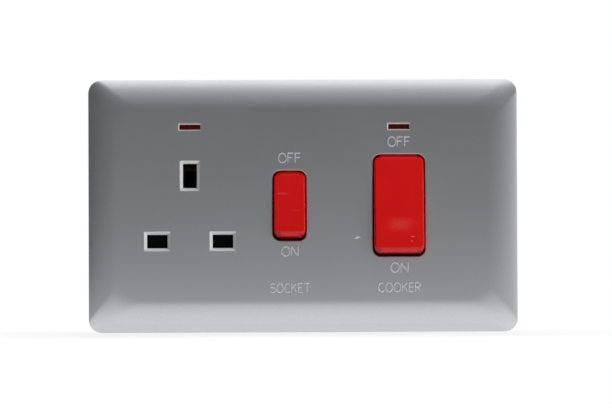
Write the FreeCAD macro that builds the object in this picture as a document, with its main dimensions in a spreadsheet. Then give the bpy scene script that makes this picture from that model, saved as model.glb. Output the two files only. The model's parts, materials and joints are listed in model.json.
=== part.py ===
import FreeCAD, Part
import math
import os
import re
import Sketcher

Vector = FreeCAD.Vector
doc = FreeCAD.newDocument("cooker_control_unit")

# Driving dimensions in millimetres and degrees.
# The wall plane is y = 0, "out" is the distance in front of it (-Y) and "depth" the distance behind it (+Y).
DIMENSIONS = {
    # cover plate with its domed border
    "plate_width": 146,
    "plate_height": 86,
    "plate_depth": 9,
    "plate_wall": 2,
    "plate_rim": 2.4,
    "plate_corner": 4.5,
    "pillow_run": 11,
    "face_corner": 7,
    "cover_clearance": 0.4,
    # snap hooks of the cover
    "hook_x": 40,
    "hook_width": 6,
    "hook_bite": 0.9,
    "hook_thickness": 0.9,
    "hook_clearance": 0.2,
    # frame screwed to the wall box
    "flange_thickness": 2.5,
    "fixing_inset": 12.7,
    "fixing_hole_radius": 2.2,
    "frame_wall": 1.8,
    # tray behind the frame
    "tray_inset_x": 18.2,
    "tray_inset_z": 13,
    "tray_depth": 25,
    "tray_nest": 2.8,
    "tray_wall": 1.8,
    "tray_floor": 2,
    "tray_corner": 2.5,
    "tray_fit": 0.15,
    "post_size": 3,
    "seat_gap": 0.1,
    # corner screws that join tray and frame
    "column_size": 6.6,
    "joint_screw_radius": 1.4,
    "joint_screw_play": 0.2,
    "joint_screw_grip": 0.05,
    "joint_screw_bite": 2.9,
    "joint_head_radius": 2.7,
    "joint_head_height": 1.8,
    "joint_head_play": 0.4,
    "joint_seat_depth": 2,
    # pin holes of the socket
    "socket_inset": 34.6,
    "earth_z": 10.2,
    "pin_pitch": 22.2,
    "earth_hole_width": 4.7,
    "earth_hole_height": 8.2,
    "line_hole_width": 6.9,
    "line_hole_height": 4.5,
    "pin_bevel": 1.05,
    "frame_hole_margin": 0.2,
    # rockers
    "socket_switch_x": -4.7,
    "socket_rocker_width": 10.6,
    "socket_rocker_height": 21.8,
    "socket_tilt": 7,
    "cooker_switch_inset": 40.6,
    "cooker_rocker_width": 16.9,
    "cooker_rocker_height": 32.6,
    "cooker_tilt": 6,
    "rocker_side_gap": 0.4,
    "rocker_end_gap": 1,
    "rocker_corner": 2.2,
    "rocker_edge": 1.3,
    "rocker_wall": 1.6,
    "rocker_skirt": 2.2,
    "window_edge": 0.25,
    "pivot_out": 3.5,
    "trunnion_radius": 1.4,
    "trunnion_fit": 0.05,
    "ear_thickness": 2,
    "ear_half_height": 2.8,
    "ear_depth": 2.4,
    "ear_slot_half": 1.2,
    "trunnion_end_gap": 0.2,
    # spring plungers inside the rockers
    "pole_offset": 5.5,
    "stem_size": 5.4,
    "stem_length": 4,
    "bore_size": 3.1,
    "bore_top": 3.5,
    "plunger_size": 2.8,
    "plunger_reach": 10.55,
    "plunger_length": 8.75,
    "plunger_taper": 0.9,
    "coil_radius": 1.1,
    "wire_radius": 0.28,
    "coil_end_gap": 0.1,
    # see-saw contacts
    "seesaw_depth": 8.4,
    "seesaw_tilt": 10,
    "seesaw_front": 1.2,
    "seesaw_thickness": 1.6,
    "seesaw_width": 5,
    "seesaw_upper": 9,
    "seesaw_lower": 7,
    "ridge_half": 1.4,
    "ridge_play": 0.1,
    "contact_z": 7.5,
    "contact_half": 1.5,
    "contact_height": 0.7,
    "contact_gap": 0.15,
    # brass bars
    "bar_depth": 11.9,
    "bar_thickness": 1,
    "bar_half_width": 2.5,
    "bar_top": 2,
    "load_bar_low": 4.6,
    "link_depth": 15,
    "link_half_width": 2,
    # terminal blocks, wire holes and clamp screws
    "terminal_length": 10,
    "terminal_clearance": 0.2,
    "terminal_front": 11,
    "terminal_width": 8.6,
    "wire_hole_radius": 2.75,
    "wire_hole_depth": 15.6,
    "wire_entry_half": 3.3,
    "earth_terminal_gap": 16.3,
    "earth_wire_offset": 3.8,
    "earth_terminal_width": 15.6,
    "clamp_radius": 2,
    "clamp_fit": 0.05,
    "clamp_tip_gap": 0.05,
    "clamp_recess": 1,
    "clamp_window": 6.4,
    "driver_slot_width": 0.9,
    "driver_slot_depth": 0.9,
    # socket contacts
    "clip_gap": 4.4,
    "clip_leaf": 0.8,
    "clip_width": 6,
    "clip_front": 0.5,
    "earth_clip_front": 4.2,
    # shutter and its spring
    "shutter_thickness": 1.5,
    "shutter_gap": 0.3,
    "shutter_lap": 0.85,
    "shutter_stem_width": 7,
    "shutter_rail": 1.2,
    "ramp_width": 3.6,
    "ramp_end_depth": 3.4,
    "ramp_low_z": 5.6,
    "ramp_high_z": 12.2,
    "ramp_thickness": 2.6,
    "spring_seat_width": 4.4,
    "spring_seat_height": 2,
    "spring_seat_reach": 3.6,
    "spring_depth": -1.2,
    # neon lenses, lamps and resistors
    "neon_inset": 1.5,
    "neon_slot_width": 7,
    "neon_slot_height": 1.6,
    "neon_bevel": 0.45,
    "lens_play": 0.1,
    "lens_recess": 0.5,
    "lens_flange_width": 8.6,
    "lens_flange_height": 2.6,
    "lens_flange_thickness": 1.1,
    "lens_seat_gap": 0.1,
    "lamp_radius": 1.9,
    "lamp_length": 9,
    "lamp_gap": 0.3,
    "lamp_drop": 0.7,
    "cradle_offset": 3,
    "cradle_width": 1.2,
    "cradle_fit": 0.15,
    "cradle_depth": 3.8,
    "cradle_height": 4.6,
    "resistor_radius": 1.1,
    "resistor_length": 6,
    "lead_size": 0.6,
    "lead_length": 2.5,
}

# Sizes that follow from the driving dimensions
DERIVED = {
    "flat_half_width": "plate_width/2 - pillow_run",
    "flat_half_height": "plate_height/2 - pillow_run",
    "pillow_drop": "plate_depth - plate_rim",
    "pillow_angle": "2*atan(pillow_drop/pillow_run)",
    "outer_radius": "pillow_run/sin(pillow_angle)",
    "inner_radius": "outer_radius - plate_wall",
    "inner_half_width": "flat_half_width + inner_radius*sin(pillow_angle)",
    "inner_half_height": "flat_half_height + inner_radius*sin(pillow_angle)",
    "inner_corner": "plate_corner - plate_wall*sin(pillow_angle)",
    "inner_face": "plate_depth - plate_wall",
    "flange_turn": "acos((flange_thickness + cover_clearance - plate_depth + outer_radius)/inner_radius)",
    "flange_reach": "inner_radius*sin(flange_turn) - 2*cover_clearance",
    "flange_half_width": "flat_half_width + flange_reach",
    "flange_half_height": "flat_half_height + flange_reach",
    "frame_front": "inner_face - cover_clearance",
    "frame_back": "frame_front - frame_wall",
    "fixing_x": "plate_width/2 - fixing_inset",
    "tray_width": "plate_width - 2*tray_inset_x",
    "tray_height": "plate_height - 2*tray_inset_z",
    "cavity_width": "tray_width + 2*tray_fit",
    "cavity_height": "tray_height + 2*tray_fit",
    "platform_width": "cavity_width + 2*frame_wall",
    "platform_height": "cavity_height + 2*frame_wall",
    "tray_inner_x": "tray_width/2 - tray_wall",
    "tray_inner_z": "tray_height/2 - tray_wall",
    "floor_depth": "tray_depth - tray_floor",
    "column_x": "tray_inner_x - column_size/2",
    "column_z": "tray_inner_z - column_size/2",
    "socket_x": "socket_inset - plate_width/2",
    "cooker_switch_x": "plate_width/2 - cooker_switch_inset",
    "line_z": "earth_z - pin_pitch",
    "live_x": "socket_x + pin_pitch/2",
    "neutral_x": "socket_x - pin_pitch/2",
    "cooker_live_x": "cooker_switch_x - pole_offset",
    "cooker_neutral_x": "cooker_switch_x + pole_offset",
    "bar_back": "bar_depth + bar_thickness",
    "link_back": "link_depth + bar_thickness",
    "earth_terminal_x": "cooker_live_x - earth_terminal_gap",
    "terminal_back": "floor_depth - terminal_clearance",
    "terminal_outer_z": "tray_inner_z - terminal_clearance",
    "terminal_inner_z": "terminal_outer_z - terminal_length",
    "terminal_mid_z": "terminal_outer_z - terminal_length/2",
    "clamp_tip": "wire_hole_depth + wire_hole_radius + clamp_tip_gap",
    "clamp_top": "tray_depth - clamp_recess",
    "leaf_near": "clip_gap/2",
    "leaf_far": "clip_gap/2 + clip_leaf",
    "shutter_front": "frame_back - shutter_gap",
    "shutter_back": "shutter_front - shutter_thickness",
    "wing_low": "line_z - line_hole_height/2 - shutter_lap",
    "wing_high": "line_z + line_hole_height/2 + shutter_lap",
    "wing_half_width": "pin_pitch/2 + line_hole_width/2 + 0.75*shutter_lap",
    "neon_z": "tray_inner_z - neon_inset",
    "lens_flange_front": "frame_back - lens_seat_gap",
    "lens_back": "lens_flange_front - lens_flange_thickness",
    "lamp_out": "lens_back - lamp_gap - lamp_radius",
    "lamp_z": "neon_z - lamp_drop",
    "contact_face": (
        "seesaw_depth + (seesaw_thickness - seesaw_front + contact_height)*cos(seesaw_tilt*1deg)"
        " + (contact_z + contact_half)*sin(seesaw_tilt*1deg) + contact_gap"
    ),
    "shutter_spring_length": "tray_inner_z + wing_low - 2*coil_end_gap",
    "plunger_spring_base": "plunger_length - plunger_reach + coil_end_gap",
    "plunger_spring_length": "bore_top - coil_end_gap - plunger_spring_base",
}

sheet = doc.addObject("Spreadsheet::Sheet", "dims")
for row, (alias, number) in enumerate(DIMENSIONS.items(), start=1):
    sheet.set(f"A{row}", str(number))
    sheet.setAlias(f"A{row}", alias)
doc.recompute()

NAME = re.compile(r"[a-z_][a-z_0-9]*(?!\w|\()")
nodes = []


def full(expression):
    """Writes the derived names out and puts the sheet's name before each alias."""

    def swap(match):
        word = match.group(0)
        if word in DERIVED:
            return f"({full(DERIVED[word])})"
        return f"dims.{word}" if word in DIMENSIONS else word

    return NAME.sub(swap, str(expression))


def value(expression):
    result = sheet.evalExpression(full(expression))
    return float(getattr(result, "Value", result))


def bind(thing, **expressions):
    for name, expression in expressions.items():
        thing.setExpression(name.replace("__", "."), full(expression))


# Closed outlines, each a list of corners or the sizes of a round shape, written as expressions
def outline(*corners):
    return ("corners", corners)


def box(low_u, high_u, low_v, high_v):
    return outline((low_u, low_v), (high_u, low_v), (high_u, high_v), (low_u, high_v))


def centred(mid_u, mid_v, width, height):
    half_w, half_h = f"({width})/2", f"({height})/2"
    return box(f"{mid_u} - {half_w}", f"{mid_u} + {half_w}", f"{mid_v} - {half_h}", f"{mid_v} + {half_h}")


def rounded(mid_u, mid_v, width, height, corner):
    return ("rounded", (mid_u, mid_v, width, height, corner))


def disc(mid_u, mid_v, radius):
    return ("disc", (mid_u, mid_v, radius))


class Dimensioned:
    """Collects a sketch's lines and its dimensions, each bound to the sheet."""

    def __init__(self, sketch):
        self.sketch = sketch
        self.rules = []
        self.bound = []

    def rule(self, *words):
        self.rules.append(Sketcher.Constraint(*words))

    def size(self, expression, *words):
        rule = Sketcher.Constraint(*words, value(expression))
        rule.Name = f"size_{len(self.bound)}"
        self.rules.append(rule)
        self.bound.append((rule.Name, expression))

    def close(self):
        self.sketch.addConstraint(self.rules)
        for name, expression in self.bound:
            self.sketch.setExpression(f"Constraints.{name}", full(expression))

    def corners(self, points):
        first = self.sketch.GeometryCount
        flat = [Vector(value(u), value(v), 0) for u, v in points]
        count = len(flat)
        for i in range(count):
            self.sketch.addGeometry(Part.LineSegment(flat[i], flat[(i + 1) % count]), False)
        for i, (u, v) in enumerate(points):
            self.rule("Coincident", first + i, 2, first + (i + 1) % count, 1)
            self.size(u, "DistanceX", -1, 1, first + i, 1)
            self.size(v, "DistanceY", -1, 1, first + i, 1)

    def disc(self, sizes):
        mid_u, mid_v, radius = sizes
        ring = Part.Circle(Vector(value(mid_u), value(mid_v), 0), Vector(0, 0, 1), value(radius))
        index = self.sketch.addGeometry(ring, False)
        self.size(radius, "Radius", index)
        self.size(mid_u, "DistanceX", -1, 1, index, 3)
        self.size(mid_v, "DistanceY", -1, 1, index, 3)

    def rounded(self, sizes):
        mid_u, mid_v, width, height, corner = sizes
        first = self.sketch.GeometryCount
        u, v, r = value(mid_u), value(mid_v), value(corner)
        a, b = value(width) / 2, value(height) / 2
        ends = [
            ((-a + r, -b), (a - r, -b)),
            ((a, -b + r), (a, b - r)),
            ((a - r, b), (-a + r, b)),
            ((-a, b - r), (-a, -b + r)),
        ]
        middles = [(a - r, -b + r), (a - r, b - r), (-a + r, b - r), (-a + r, -b + r)]
        for side in range(4):
            start, end = [Vector(u + p, v + q, 0) for p, q in ends[side]]
            self.sketch.addGeometry(Part.LineSegment(start, end), False)
            p, q = middles[side]
            ring = Part.Circle(Vector(u + p, v + q, 0), Vector(0, 0, 1), r)
            turn = (side - 1) * math.pi / 2
            self.sketch.addGeometry(Part.ArcOfCircle(ring, turn, turn + math.pi / 2), False)
        for i in range(8):
            self.rule("Tangent", first + i, 2, first + (i + 1) % 8, 1)
        for side, word in ((0, "Horizontal"), (2, "Vertical"), (4, "Horizontal"), (6, "Vertical")):
            self.rule(word, first + side)
        for arc in (3, 5, 7):
            self.rule("Equal", first + 1, first + arc)
        self.size(corner, "Radius", first + 1)
        self.size(f"{mid_v} - ({height})/2", "DistanceY", -1, 1, first, 1)
        self.size(f"{mid_u} + ({width})/2", "DistanceX", -1, 1, first + 2, 1)
        self.size(f"{mid_v} + ({height})/2", "DistanceY", -1, 1, first + 4, 1)
        self.size(f"{mid_u} - ({width})/2", "DistanceX", -1, 1, first + 6, 1)


def new_body(label):
    body = doc.addObject("PartDesign::Body", label)
    nodes.append(body)
    return body


def sketch_at(body, plane, level, loops):
    """A sketch parallel to an origin plane: XZ looks out of the wall, YZ to the right and XY up."""
    sketch = body.newObject("Sketcher::SketchObject", f"{body.Name}_sketch")
    support = [f for f in body.Origin.OriginFeatures if f.Role == f"{plane}_Plane"][0]
    sketch.AttachmentSupport = [(support, "")]
    sketch.MapMode = "FlatFace"
    bind(sketch, AttachmentOffset__Base__z=level)
    drawing = Dimensioned(sketch)
    for kind, sizes in loops:
        getattr(drawing, kind)(sizes)
    drawing.close()
    return sketch


def add(body, plane, low, high, *loops):
    pad = body.newObject("PartDesign::Pad", f"{body.Name}_pad")
    pad.Profile = sketch_at(body, plane, low, loops)
    bind(pad, Length=f"{high} - ({low})")
    body.Tip = pad
    doc.recompute()


def remove(body, plane, low, high, *loops):
    before = body.Shape.Volume
    pocket = body.newObject("PartDesign::Pocket", f"{body.Name}_pocket")
    pocket.Profile = sketch_at(body, plane, low, loops)
    pocket.Reversed = True
    bind(pocket, Length=f"{high} - ({low})")
    body.Tip = pocket
    doc.recompute()
    if body.Shape.Volume > before - 0.01:
        raise RuntimeError(f"{pocket.Name} cuts nothing")


def bevel(body, size, chosen):
    """A chamfer on the tip's edges that the test chooses."""
    base = body.Tip
    names = [f"Edge{i + 1}" for i, edge in enumerate(base.Shape.Edges) if chosen(edge.BoundBox)]
    feature = body.newObject("PartDesign::Chamfer", f"{body.Name}_chamfer")
    feature.Base = (base, names)
    bind(feature, Size=size)
    body.Tip = feature
    doc.recompute()


def lies_at(box_of_edge, out):
    return abs(box_of_edge.YMin + out) < 1e-4 and abs(box_of_edge.YMax + out) < 1e-4


def inside(box_of_edge, mid_u, mid_v, width, height):
    near_u = abs(box_of_edge.Center.x - value(mid_u)) < value(width)
    return near_u and abs(box_of_edge.Center.z - value(mid_v)) < value(height)


def place(thing, x, out, z, angle="0"):
    """Turns a piece about its own X axis and sets it in front of the wall plane."""
    thing.Placement.Rotation = FreeCAD.Rotation(Vector(1, 0, 0), value(angle))
    bind(thing, Placement__Base__x=x, Placement__Base__y=f"-({out})", Placement__Base__z=z)
    bind(thing, Placement__Rotation__Angle=angle, Placement__Rotation__Axis__x="1")
    bind(thing, Placement__Rotation__Axis__y="0", Placement__Rotation__Axis__z="0")


def mirrored(low, high):
    """The same span on both sides of zero."""
    return [(low, high), (f"-({high})", f"-({low})")]


SWITCHES = ("socket", "cooker")
POLES = {
    "socket": {"socket": "0"},
    "cooker": {"cooker_live": "-pole_offset", "cooker_neutral": "pole_offset"},
}
PIN_HOLES = {
    "earth": ("socket_x", "earth_z", "earth_hole_width", "earth_hole_height"),
    "live": ("live_x", "line_z", "line_hole_width", "line_hole_height"),
    "neutral": ("neutral_x", "line_z", "line_hole_width", "line_hole_height"),
}
NEONS = {"socket": ("socket_x", 1), "cooker": ("cooker_switch_x", -1)}
for switch in SWITCHES:
    DERIVED[f"{switch}_window_width"] = f"{switch}_rocker_width + 2*rocker_side_gap"
    DERIVED[f"{switch}_window_height"] = f"{switch}_rocker_height + 2*rocker_end_gap"
    DERIVED[f"{switch}_proud"] = f"{switch}_rocker_height/2*sin({switch}_tilt*1deg)"
    DERIVED[f"{switch}_face"] = f"plate_depth - pivot_out + {switch}_proud"
    DERIVED[f"{switch}_ear_near"] = f"{switch}_rocker_width/2 + rocker_side_gap"
    DERIVED[f"{switch}_ear_far"] = f"{switch}_ear_near + ear_thickness"


def window(switch):
    width, height = f"{switch}_window_width", f"{switch}_window_height"
    return rounded(f"{switch}_switch_x", "0", width, height, "rocker_corner + rocker_side_gap")


def pin_hole(name):
    return centred(*PIN_HOLES[name])


def behind(mid_x, mid_z, width, height):
    """A plain rectangle a little larger than the hole in front of it."""
    return centred(mid_x, mid_z, f"{width} + 2*frame_hole_margin", f"{height} + 2*frame_hole_margin")


def neon_slot(name, play):
    width, height = f"neon_slot_width + 2*({play})", f"neon_slot_height + 2*({play})"
    return centred(NEONS[name][0], "neon_z", width, height)


# Front plate: a border rolled on an arc that ends tangent to the flat face, with corners that tighten towards the rim
SMOOTH_BANDS = [(1, 0.8, 0.6, 0.42, 0.26, 0.12, 0)]
INNER_BANDS = [(1, 0.66), (0.66, 0.33), (0.33, 0)]
AROUND = [(1, 1), (-1, 1), (-1, -1), (1, -1)]


def domed_form(radius, corner, base, bands):
    """A closed form from the base level to the flat face; each band is a row of steps down the border's arc."""
    angle = math.radians(value("pillow_angle"))
    radius, corner, base = value(radius), value(corner), value(base)
    half_width, half_height = value("flat_half_width"), value("flat_half_height")
    face_corner = value("face_corner")

    def quarter(step, side_x, side_z, out=None):
        turn = step * angle
        bend = face_corner + (corner - face_corner) * math.sin(turn) / math.sin(angle)
        mid_x = half_width + radius * math.sin(turn) - bend
        mid_z = half_height + radius * math.sin(turn) - bend
        if out is None:
            out = value("plate_depth - outer_radius") + radius * math.cos(turn)
        points = [
            Vector(side_x * (mid_x + bend * math.cos(t)), -out, side_z * (mid_z + bend * math.sin(t)))
            for t in (0, math.pi / 4, math.pi / 2)
        ]
        return points if side_x * side_z > 0 else points[::-1]

    def corner_sheet(steps, side_x, side_z):
        arcs = [Part.Wire([Part.Arc(*quarter(step, 1, -1)).toShape()]) for step in steps]
        sheet = Part.makeLoft(arcs, False, False)
        if side_x * side_z > 0:
            sheet = sheet.mirror(Vector(), Vector(1, 0, 0))
        if side_z > 0:
            sheet.rotate(Vector(), Vector(0, 1, 0), 180)
        return sheet

    def ring(step, out=None):
        edges = []
        last = quarter(step, 1, -1, out)[-1]
        for side_x, side_z in AROUND:
            points = quarter(step, side_x, side_z, out)
            edges.append(Part.makeLine(last, points[0]))
            edges.append(Part.Arc(*points).toShape())
            last = points[-1]
        return Part.Wire(edges)

    faces = [Part.Face(ring(0)), Part.Face(ring(1, base))]
    faces += Part.makeLoft([ring(1), ring(1, base)], False, True).Faces
    for steps in bands:
        turns = [corner_sheet(steps, *side) for side in AROUND]
        faces += [sheet.Faces[0] for sheet in turns]
        for here, following in zip(turns, turns[1:] + turns[:1]):
            faces.append(Part.makeRuledSurface(*nearest_seams(here, following)))
    shell = Part.makeCompound(faces)
    shell.sewShape(0.005)
    return Part.makeSolid(shell.Shells[0] if shell.Shells else Part.Shell(shell.Faces))


def nearest_seams(here, following):
    """The two rising edges by which neighbouring corners face each other."""
    rising = [[edge for edge in sheet.Edges if edge.BoundBox.YLength > 0.01] for sheet in (here, following)]
    pairs = [(a, b) for a in rising[0] for b in rising[1]]
    return min(pairs, key=lambda pair: pair[0].BoundBox.Center.distanceToPoint(pair[1].BoundBox.Center))


shell_form = doc.addObject("Part::Feature", "plate_shell")
shell_form.Shape = domed_form("outer_radius", "plate_corner", "0", SMOOTH_BANDS).cut(
    domed_form("inner_radius", "inner_corner", "-1", INNER_BANDS)
)
plate = new_body("front_plate")
plate.BaseFeature = shell_form
doc.recompute()
remove(plate, "XZ", "inner_face - 1", "plate_depth + 1", *[pin_hole(name) for name in PIN_HOLES])
front = value("plate_depth")
bevel(
    plate, "pin_bevel",
    lambda edge: lies_at(edge, front) and any(inside(edge, *hole) for hole in PIN_HOLES.values()),
)
remove(plate, "XZ", "inner_face - 1", "plate_depth + 1", *[neon_slot(name, "0") for name in NEONS])
bevel(
    plate, "neon_bevel",
    lambda edge: lies_at(edge, front)
    and any(inside(edge, x, "neon_z", "neon_slot_width", "neon_slot_height") for x, way in NEONS.values()),
)
remove(plate, "XZ", "inner_face - 1", "plate_depth + 1", *[window(switch) for switch in SWITCHES])
bevel(
    plate, "window_edge",
    lambda edge: lies_at(edge, front)
    and any(
        inside(edge, f"{switch}_switch_x", "0", f"0.6*{switch}_window_width", f"0.6*{switch}_window_height")
        for switch in SWITCHES
    ),
)
hook_spans = [
    box(f"{side}*hook_x - hook_width/2", f"{side}*hook_x + hook_width/2", low, high)
    for side in (-1, 1)
    for low, high in mirrored("flange_half_height - hook_bite", "inner_half_height + plate_wall/4")
]
add(plate, "XZ", "hook_clearance", "hook_clearance + hook_thickness", *hook_spans)

# Mounting frame: flange on the wall, raised hollow platform, rocker bearings and shutter rails
frame = new_body("mounting_frame")
add(
    frame, "XZ", "0", "flange_thickness",
    rounded("0", "0", "2*flange_half_width", "2*flange_half_height", "plate_corner"),
)
add(
    frame, "XZ", "0", "frame_front",
    rounded("0", "0", "platform_width", "platform_height", "tray_corner + tray_fit + frame_wall"),
)
remove(
    frame, "XZ", "0", "frame_back",
    rounded("0", "0", "cavity_width", "cavity_height", "tray_corner + tray_fit"),
)
corners = [("-column_x", "column_z"), ("column_x", "-column_z")]
pillars = [centred(x, z, "column_size", "column_size") for x, z in corners]
add(frame, "XZ", "tray_nest", "frame_back + frame_wall/2", *pillars)
ears = [
    box(f"{switch}_switch_x + {low}", f"{switch}_switch_x + {high}", "-ear_half_height", "ear_half_height")
    for switch in SWITCHES
    for low, high in mirrored(f"{switch}_ear_near", f"{switch}_ear_far")
]
add(frame, "XZ", "pivot_out - ear_depth", "frame_back + frame_wall/2", *ears)
rails = [
    box(f"socket_x + {low}", f"socket_x + {high}", "wing_high + 2*shutter_rail", "0.5*ramp_low_z")
    for low, high in mirrored(
        "shutter_stem_width/2 + shutter_gap", "shutter_stem_width/2 + shutter_gap + shutter_rail"
    )
]
add(frame, "XZ", "shutter_back", "frame_back + frame_wall/2", *rails)
for switch in SWITCHES:
    opening = behind(f"{switch}_switch_x", "0", f"{switch}_window_width", f"{switch}_window_height")
    remove(frame, "XZ", "frame_back", "frame_front + 1", opening)
remove(frame, "XZ", "frame_back - 1", "frame_front + 1", *[behind(*hole) for hole in PIN_HOLES.values()])
slots = [behind(x, "neon_z", "neon_slot_width", "neon_slot_height") for x, way in NEONS.values()]
remove(frame, "XZ", "frame_back - 1", "frame_front + 1", *slots)
for switch in SWITCHES:
    left, right = [f"{switch}_switch_x {sign} {switch}_ear_far" for sign in "-+"]
    remove(frame, "YZ", left, right, disc("-pivot_out", "0", "trunnion_radius + trunnion_fit"))
    throat = box("-pivot_out", "ear_depth", "-ear_slot_half", "ear_slot_half")
    remove(frame, "YZ", left, right, throat)
fixings = [disc(f"{side}*fixing_x", "0", "fixing_hole_radius") for side in (-1, 1)]
remove(frame, "XZ", "-1", "flange_thickness + 1", *fixings)
sockets = [disc(x, z, "joint_screw_radius + joint_screw_grip") for x, z in corners]
remove(frame, "XZ", "tray_nest - 1", "tray_nest + joint_screw_bite + joint_screw_grip", *sockets)
notches = [
    box(
        f"{side}*hook_x - hook_width/2 - hook_clearance", f"{side}*hook_x + hook_width/2 + hook_clearance",
        low, high,
    )
    for side in (-1, 1)
    for low, high in mirrored("flange_half_height - hook_bite - hook_clearance", "flange_half_height + 1")
]
remove(frame, "XZ", "-1", "2*hook_clearance + hook_thickness", *notches)

# Rear housing: tray with corner columns, floor posts and ribs, lamp cradles, screw and wire holes
WIRES = {
    "live_supply": ("cooker_live_x", -1),
    "neutral_supply": ("cooker_neutral_x", -1),
    "live_load": ("cooker_live_x", 1),
    "neutral_load": ("cooker_neutral_x", 1),
    "earth_supply": ("earth_terminal_x - earth_wire_offset", 1),
    "earth_load": ("earth_terminal_x + earth_wire_offset", 1),
}
POLE_X = ("socket_switch_x", "cooker_live_x", "cooker_neutral_x")
tray = new_body("rear_housing")
add(
    tray, "XZ", "-tray_depth", "tray_nest",
    rounded("0", "0", "tray_width", "tray_height", "tray_corner"),
)
remove(
    tray, "XZ", "-floor_depth", "tray_nest + 1",
    centred("0", "0", "2*tray_inner_x", "2*tray_inner_z"),
)
columns = [centred(x, z, "column_size + tray_wall/2", "column_size + tray_wall/2") for x, z in corners]
add(tray, "XZ", "-tray_depth + tray_floor/2", "tray_nest", *columns)
posts = [centred(x, z, "post_size", "post_size") for x in POLE_X for z in ("0", "load_bar_low + post_size/2")]
posts.append(centred("live_x + pin_pitch/2", "0.25*line_z", "post_size", "post_size"))
add(tray, "XZ", "-tray_depth + tray_floor/2", "-bar_back - seat_gap", *posts)
ribs = [
    box(f"{x} - tray_wall/2", f"{x} + tray_wall/2", "line_z - clip_width/2", "earth_z + clip_width/2")
    for x in ("socket_x", "(socket_x + socket_switch_x)/2", "(earth_terminal_x + cooker_live_x)/2")
]
add(tray, "XZ", "-tray_depth + tray_floor/2", "-link_back - seat_gap", *ribs)
for name in NEONS:
    for side in (-1, 1):
        middle = f"{NEONS[name][0]} + {side}*cradle_offset"
        add(
            tray, "YZ", f"{middle} - cradle_width/2", f"{middle} + cradle_width/2",
            box("-lamp_out", "cradle_depth - lamp_out", "tray_inner_z - cradle_height", "tray_inner_z + tray_wall/2"),
        )
    seat = "(lamp_radius + cradle_fit)"
    remove(
        tray, "YZ", f"{NEONS[name][0]} - lamp_length/2", f"{NEONS[name][0]} + lamp_length/2",
        box("-lamp_out - 1", f"{seat} - lamp_out", f"lamp_z - {seat}", f"lamp_z + {seat}"),
    )
add(
    tray, "XY", "-tray_inner_z - tray_wall/2", "-tray_inner_z + spring_seat_height",
    centred("socket_x", "spring_depth", "coil_radius - wire_radius", "coil_radius - wire_radius"),
)
through = [disc(x, z, "joint_screw_radius + joint_screw_play") for x, z in corners]
remove(tray, "XZ", "-joint_seat_depth - 1", "tray_nest + 1", *through)
wells = [disc(x, z, "joint_head_radius + joint_head_play") for x, z in corners]
remove(tray, "XZ", "-tray_depth - 1", "-joint_seat_depth", *wells)
clamp_holes = [centred(x, f"{side}*terminal_mid_z", "clamp_window", "clamp_window") for x, side in WIRES.values()]
remove(tray, "XZ", "-tray_depth - 1", "-floor_depth + 1", *clamp_holes)
for side in (-1, 1):
    entries = [
        centred(x, "wire_hole_depth", "2*wire_entry_half", "2*wire_entry_half")
        for x, way in WIRES.values()
        if way == side
    ]
    low, high = mirrored("tray_inner_z - 0.5", "tray_height/2 + 1")[0 if side > 0 else 1]
    remove(tray, "XY", low, high, *entries)


# Screws along Y with a driver slot in their rear end, gathered into groups
def rod(name, x, z, low, high, radius):
    """A round bar between two depths."""
    bar = doc.addObject("Part::Cylinder", name)
    bind(bar, Radius=radius, Height=f"{high} - ({low})")
    bar.Placement.Rotation = FreeCAD.Rotation(Vector(1, 0, 0), -90)
    bind(bar, Placement__Base__x=x, Placement__Base__y=low, Placement__Base__z=z)
    return bar


def slotted(name, blank, x, z, top, radius):
    slot = doc.addObject("Part::Box", f"{name}_slot")
    bind(slot, Length=f"4*{radius}", Width="2*driver_slot_depth", Height="driver_slot_width")
    bind(slot, Placement__Base__x=f"{x} - 2*{radius}", Placement__Base__z=f"{z} - driver_slot_width/2")
    bind(slot, Placement__Base__y=f"{top} - driver_slot_depth")
    screw = doc.addObject("Part::Cut", name)
    screw.Base = blank
    screw.Tool = slot
    return screw


def group(label, pieces):
    bundle = doc.addObject("Part::Compound", label)
    bundle.Links = pieces
    nodes.append(bundle)


housing_screws = []
for i, (x, z) in enumerate(corners):
    name, top = f"housing_screw_{i}", "joint_seat_depth + joint_head_height"
    blank = doc.addObject("Part::Fuse", f"{name}_blank")
    blank.Base = rod(f"{name}_shank", x, z, "-tray_nest - joint_screw_bite", "joint_seat_depth", "joint_screw_radius")
    blank.Tool = rod(f"{name}_head", x, z, "joint_seat_depth", top, "joint_head_radius")
    housing_screws.append(slotted(name, blank, x, z, top, "joint_head_radius"))
group("housing_screws", housing_screws)
terminal_screws = []
for wire, (x, side) in WIRES.items():
    z = f"{side}*terminal_mid_z"
    blank = rod(f"{wire}_screw_blank", x, z, "clamp_tip", "clamp_top", "clamp_radius")
    terminal_screws.append(slotted(f"{wire}_screw", blank, x, z, "clamp_top", "clamp_radius"))
group("terminal_screws", terminal_screws)


# Terminal blocks: a bored brass block with the tapped hole of its clamp screw
def terminal(label, mid_x, width, side, wire_xs):
    block = new_body(label)
    low, high = mirrored("terminal_inner_z", "terminal_outer_z")[0 if side > 0 else 1]
    add(block, "XZ", "-terminal_back", "-terminal_front", box(f"{mid_x} - {width}/2", f"{mid_x} + {width}/2", low, high))
    holes = [disc(x, "wire_hole_depth", "wire_hole_radius") for x in wire_xs]
    remove(block, "XY", f"{low} - 1", f"{high} + 1", *holes)
    taps = [disc(x, f"{side}*terminal_mid_z", "clamp_radius + clamp_fit") for x in wire_xs]
    remove(block, "XZ", "-terminal_back - 1", "-wire_hole_depth", *taps)


for name, (x, side) in WIRES.items():
    if not name.startswith("earth"):
        terminal(f"{name}_terminal", x, "terminal_width", side, [x])
terminal(
    "earth_terminal", "earth_terminal_x", "earth_terminal_width", 1,
    ["earth_terminal_x - earth_wire_offset", "earth_terminal_x + earth_wire_offset"],
)


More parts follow.
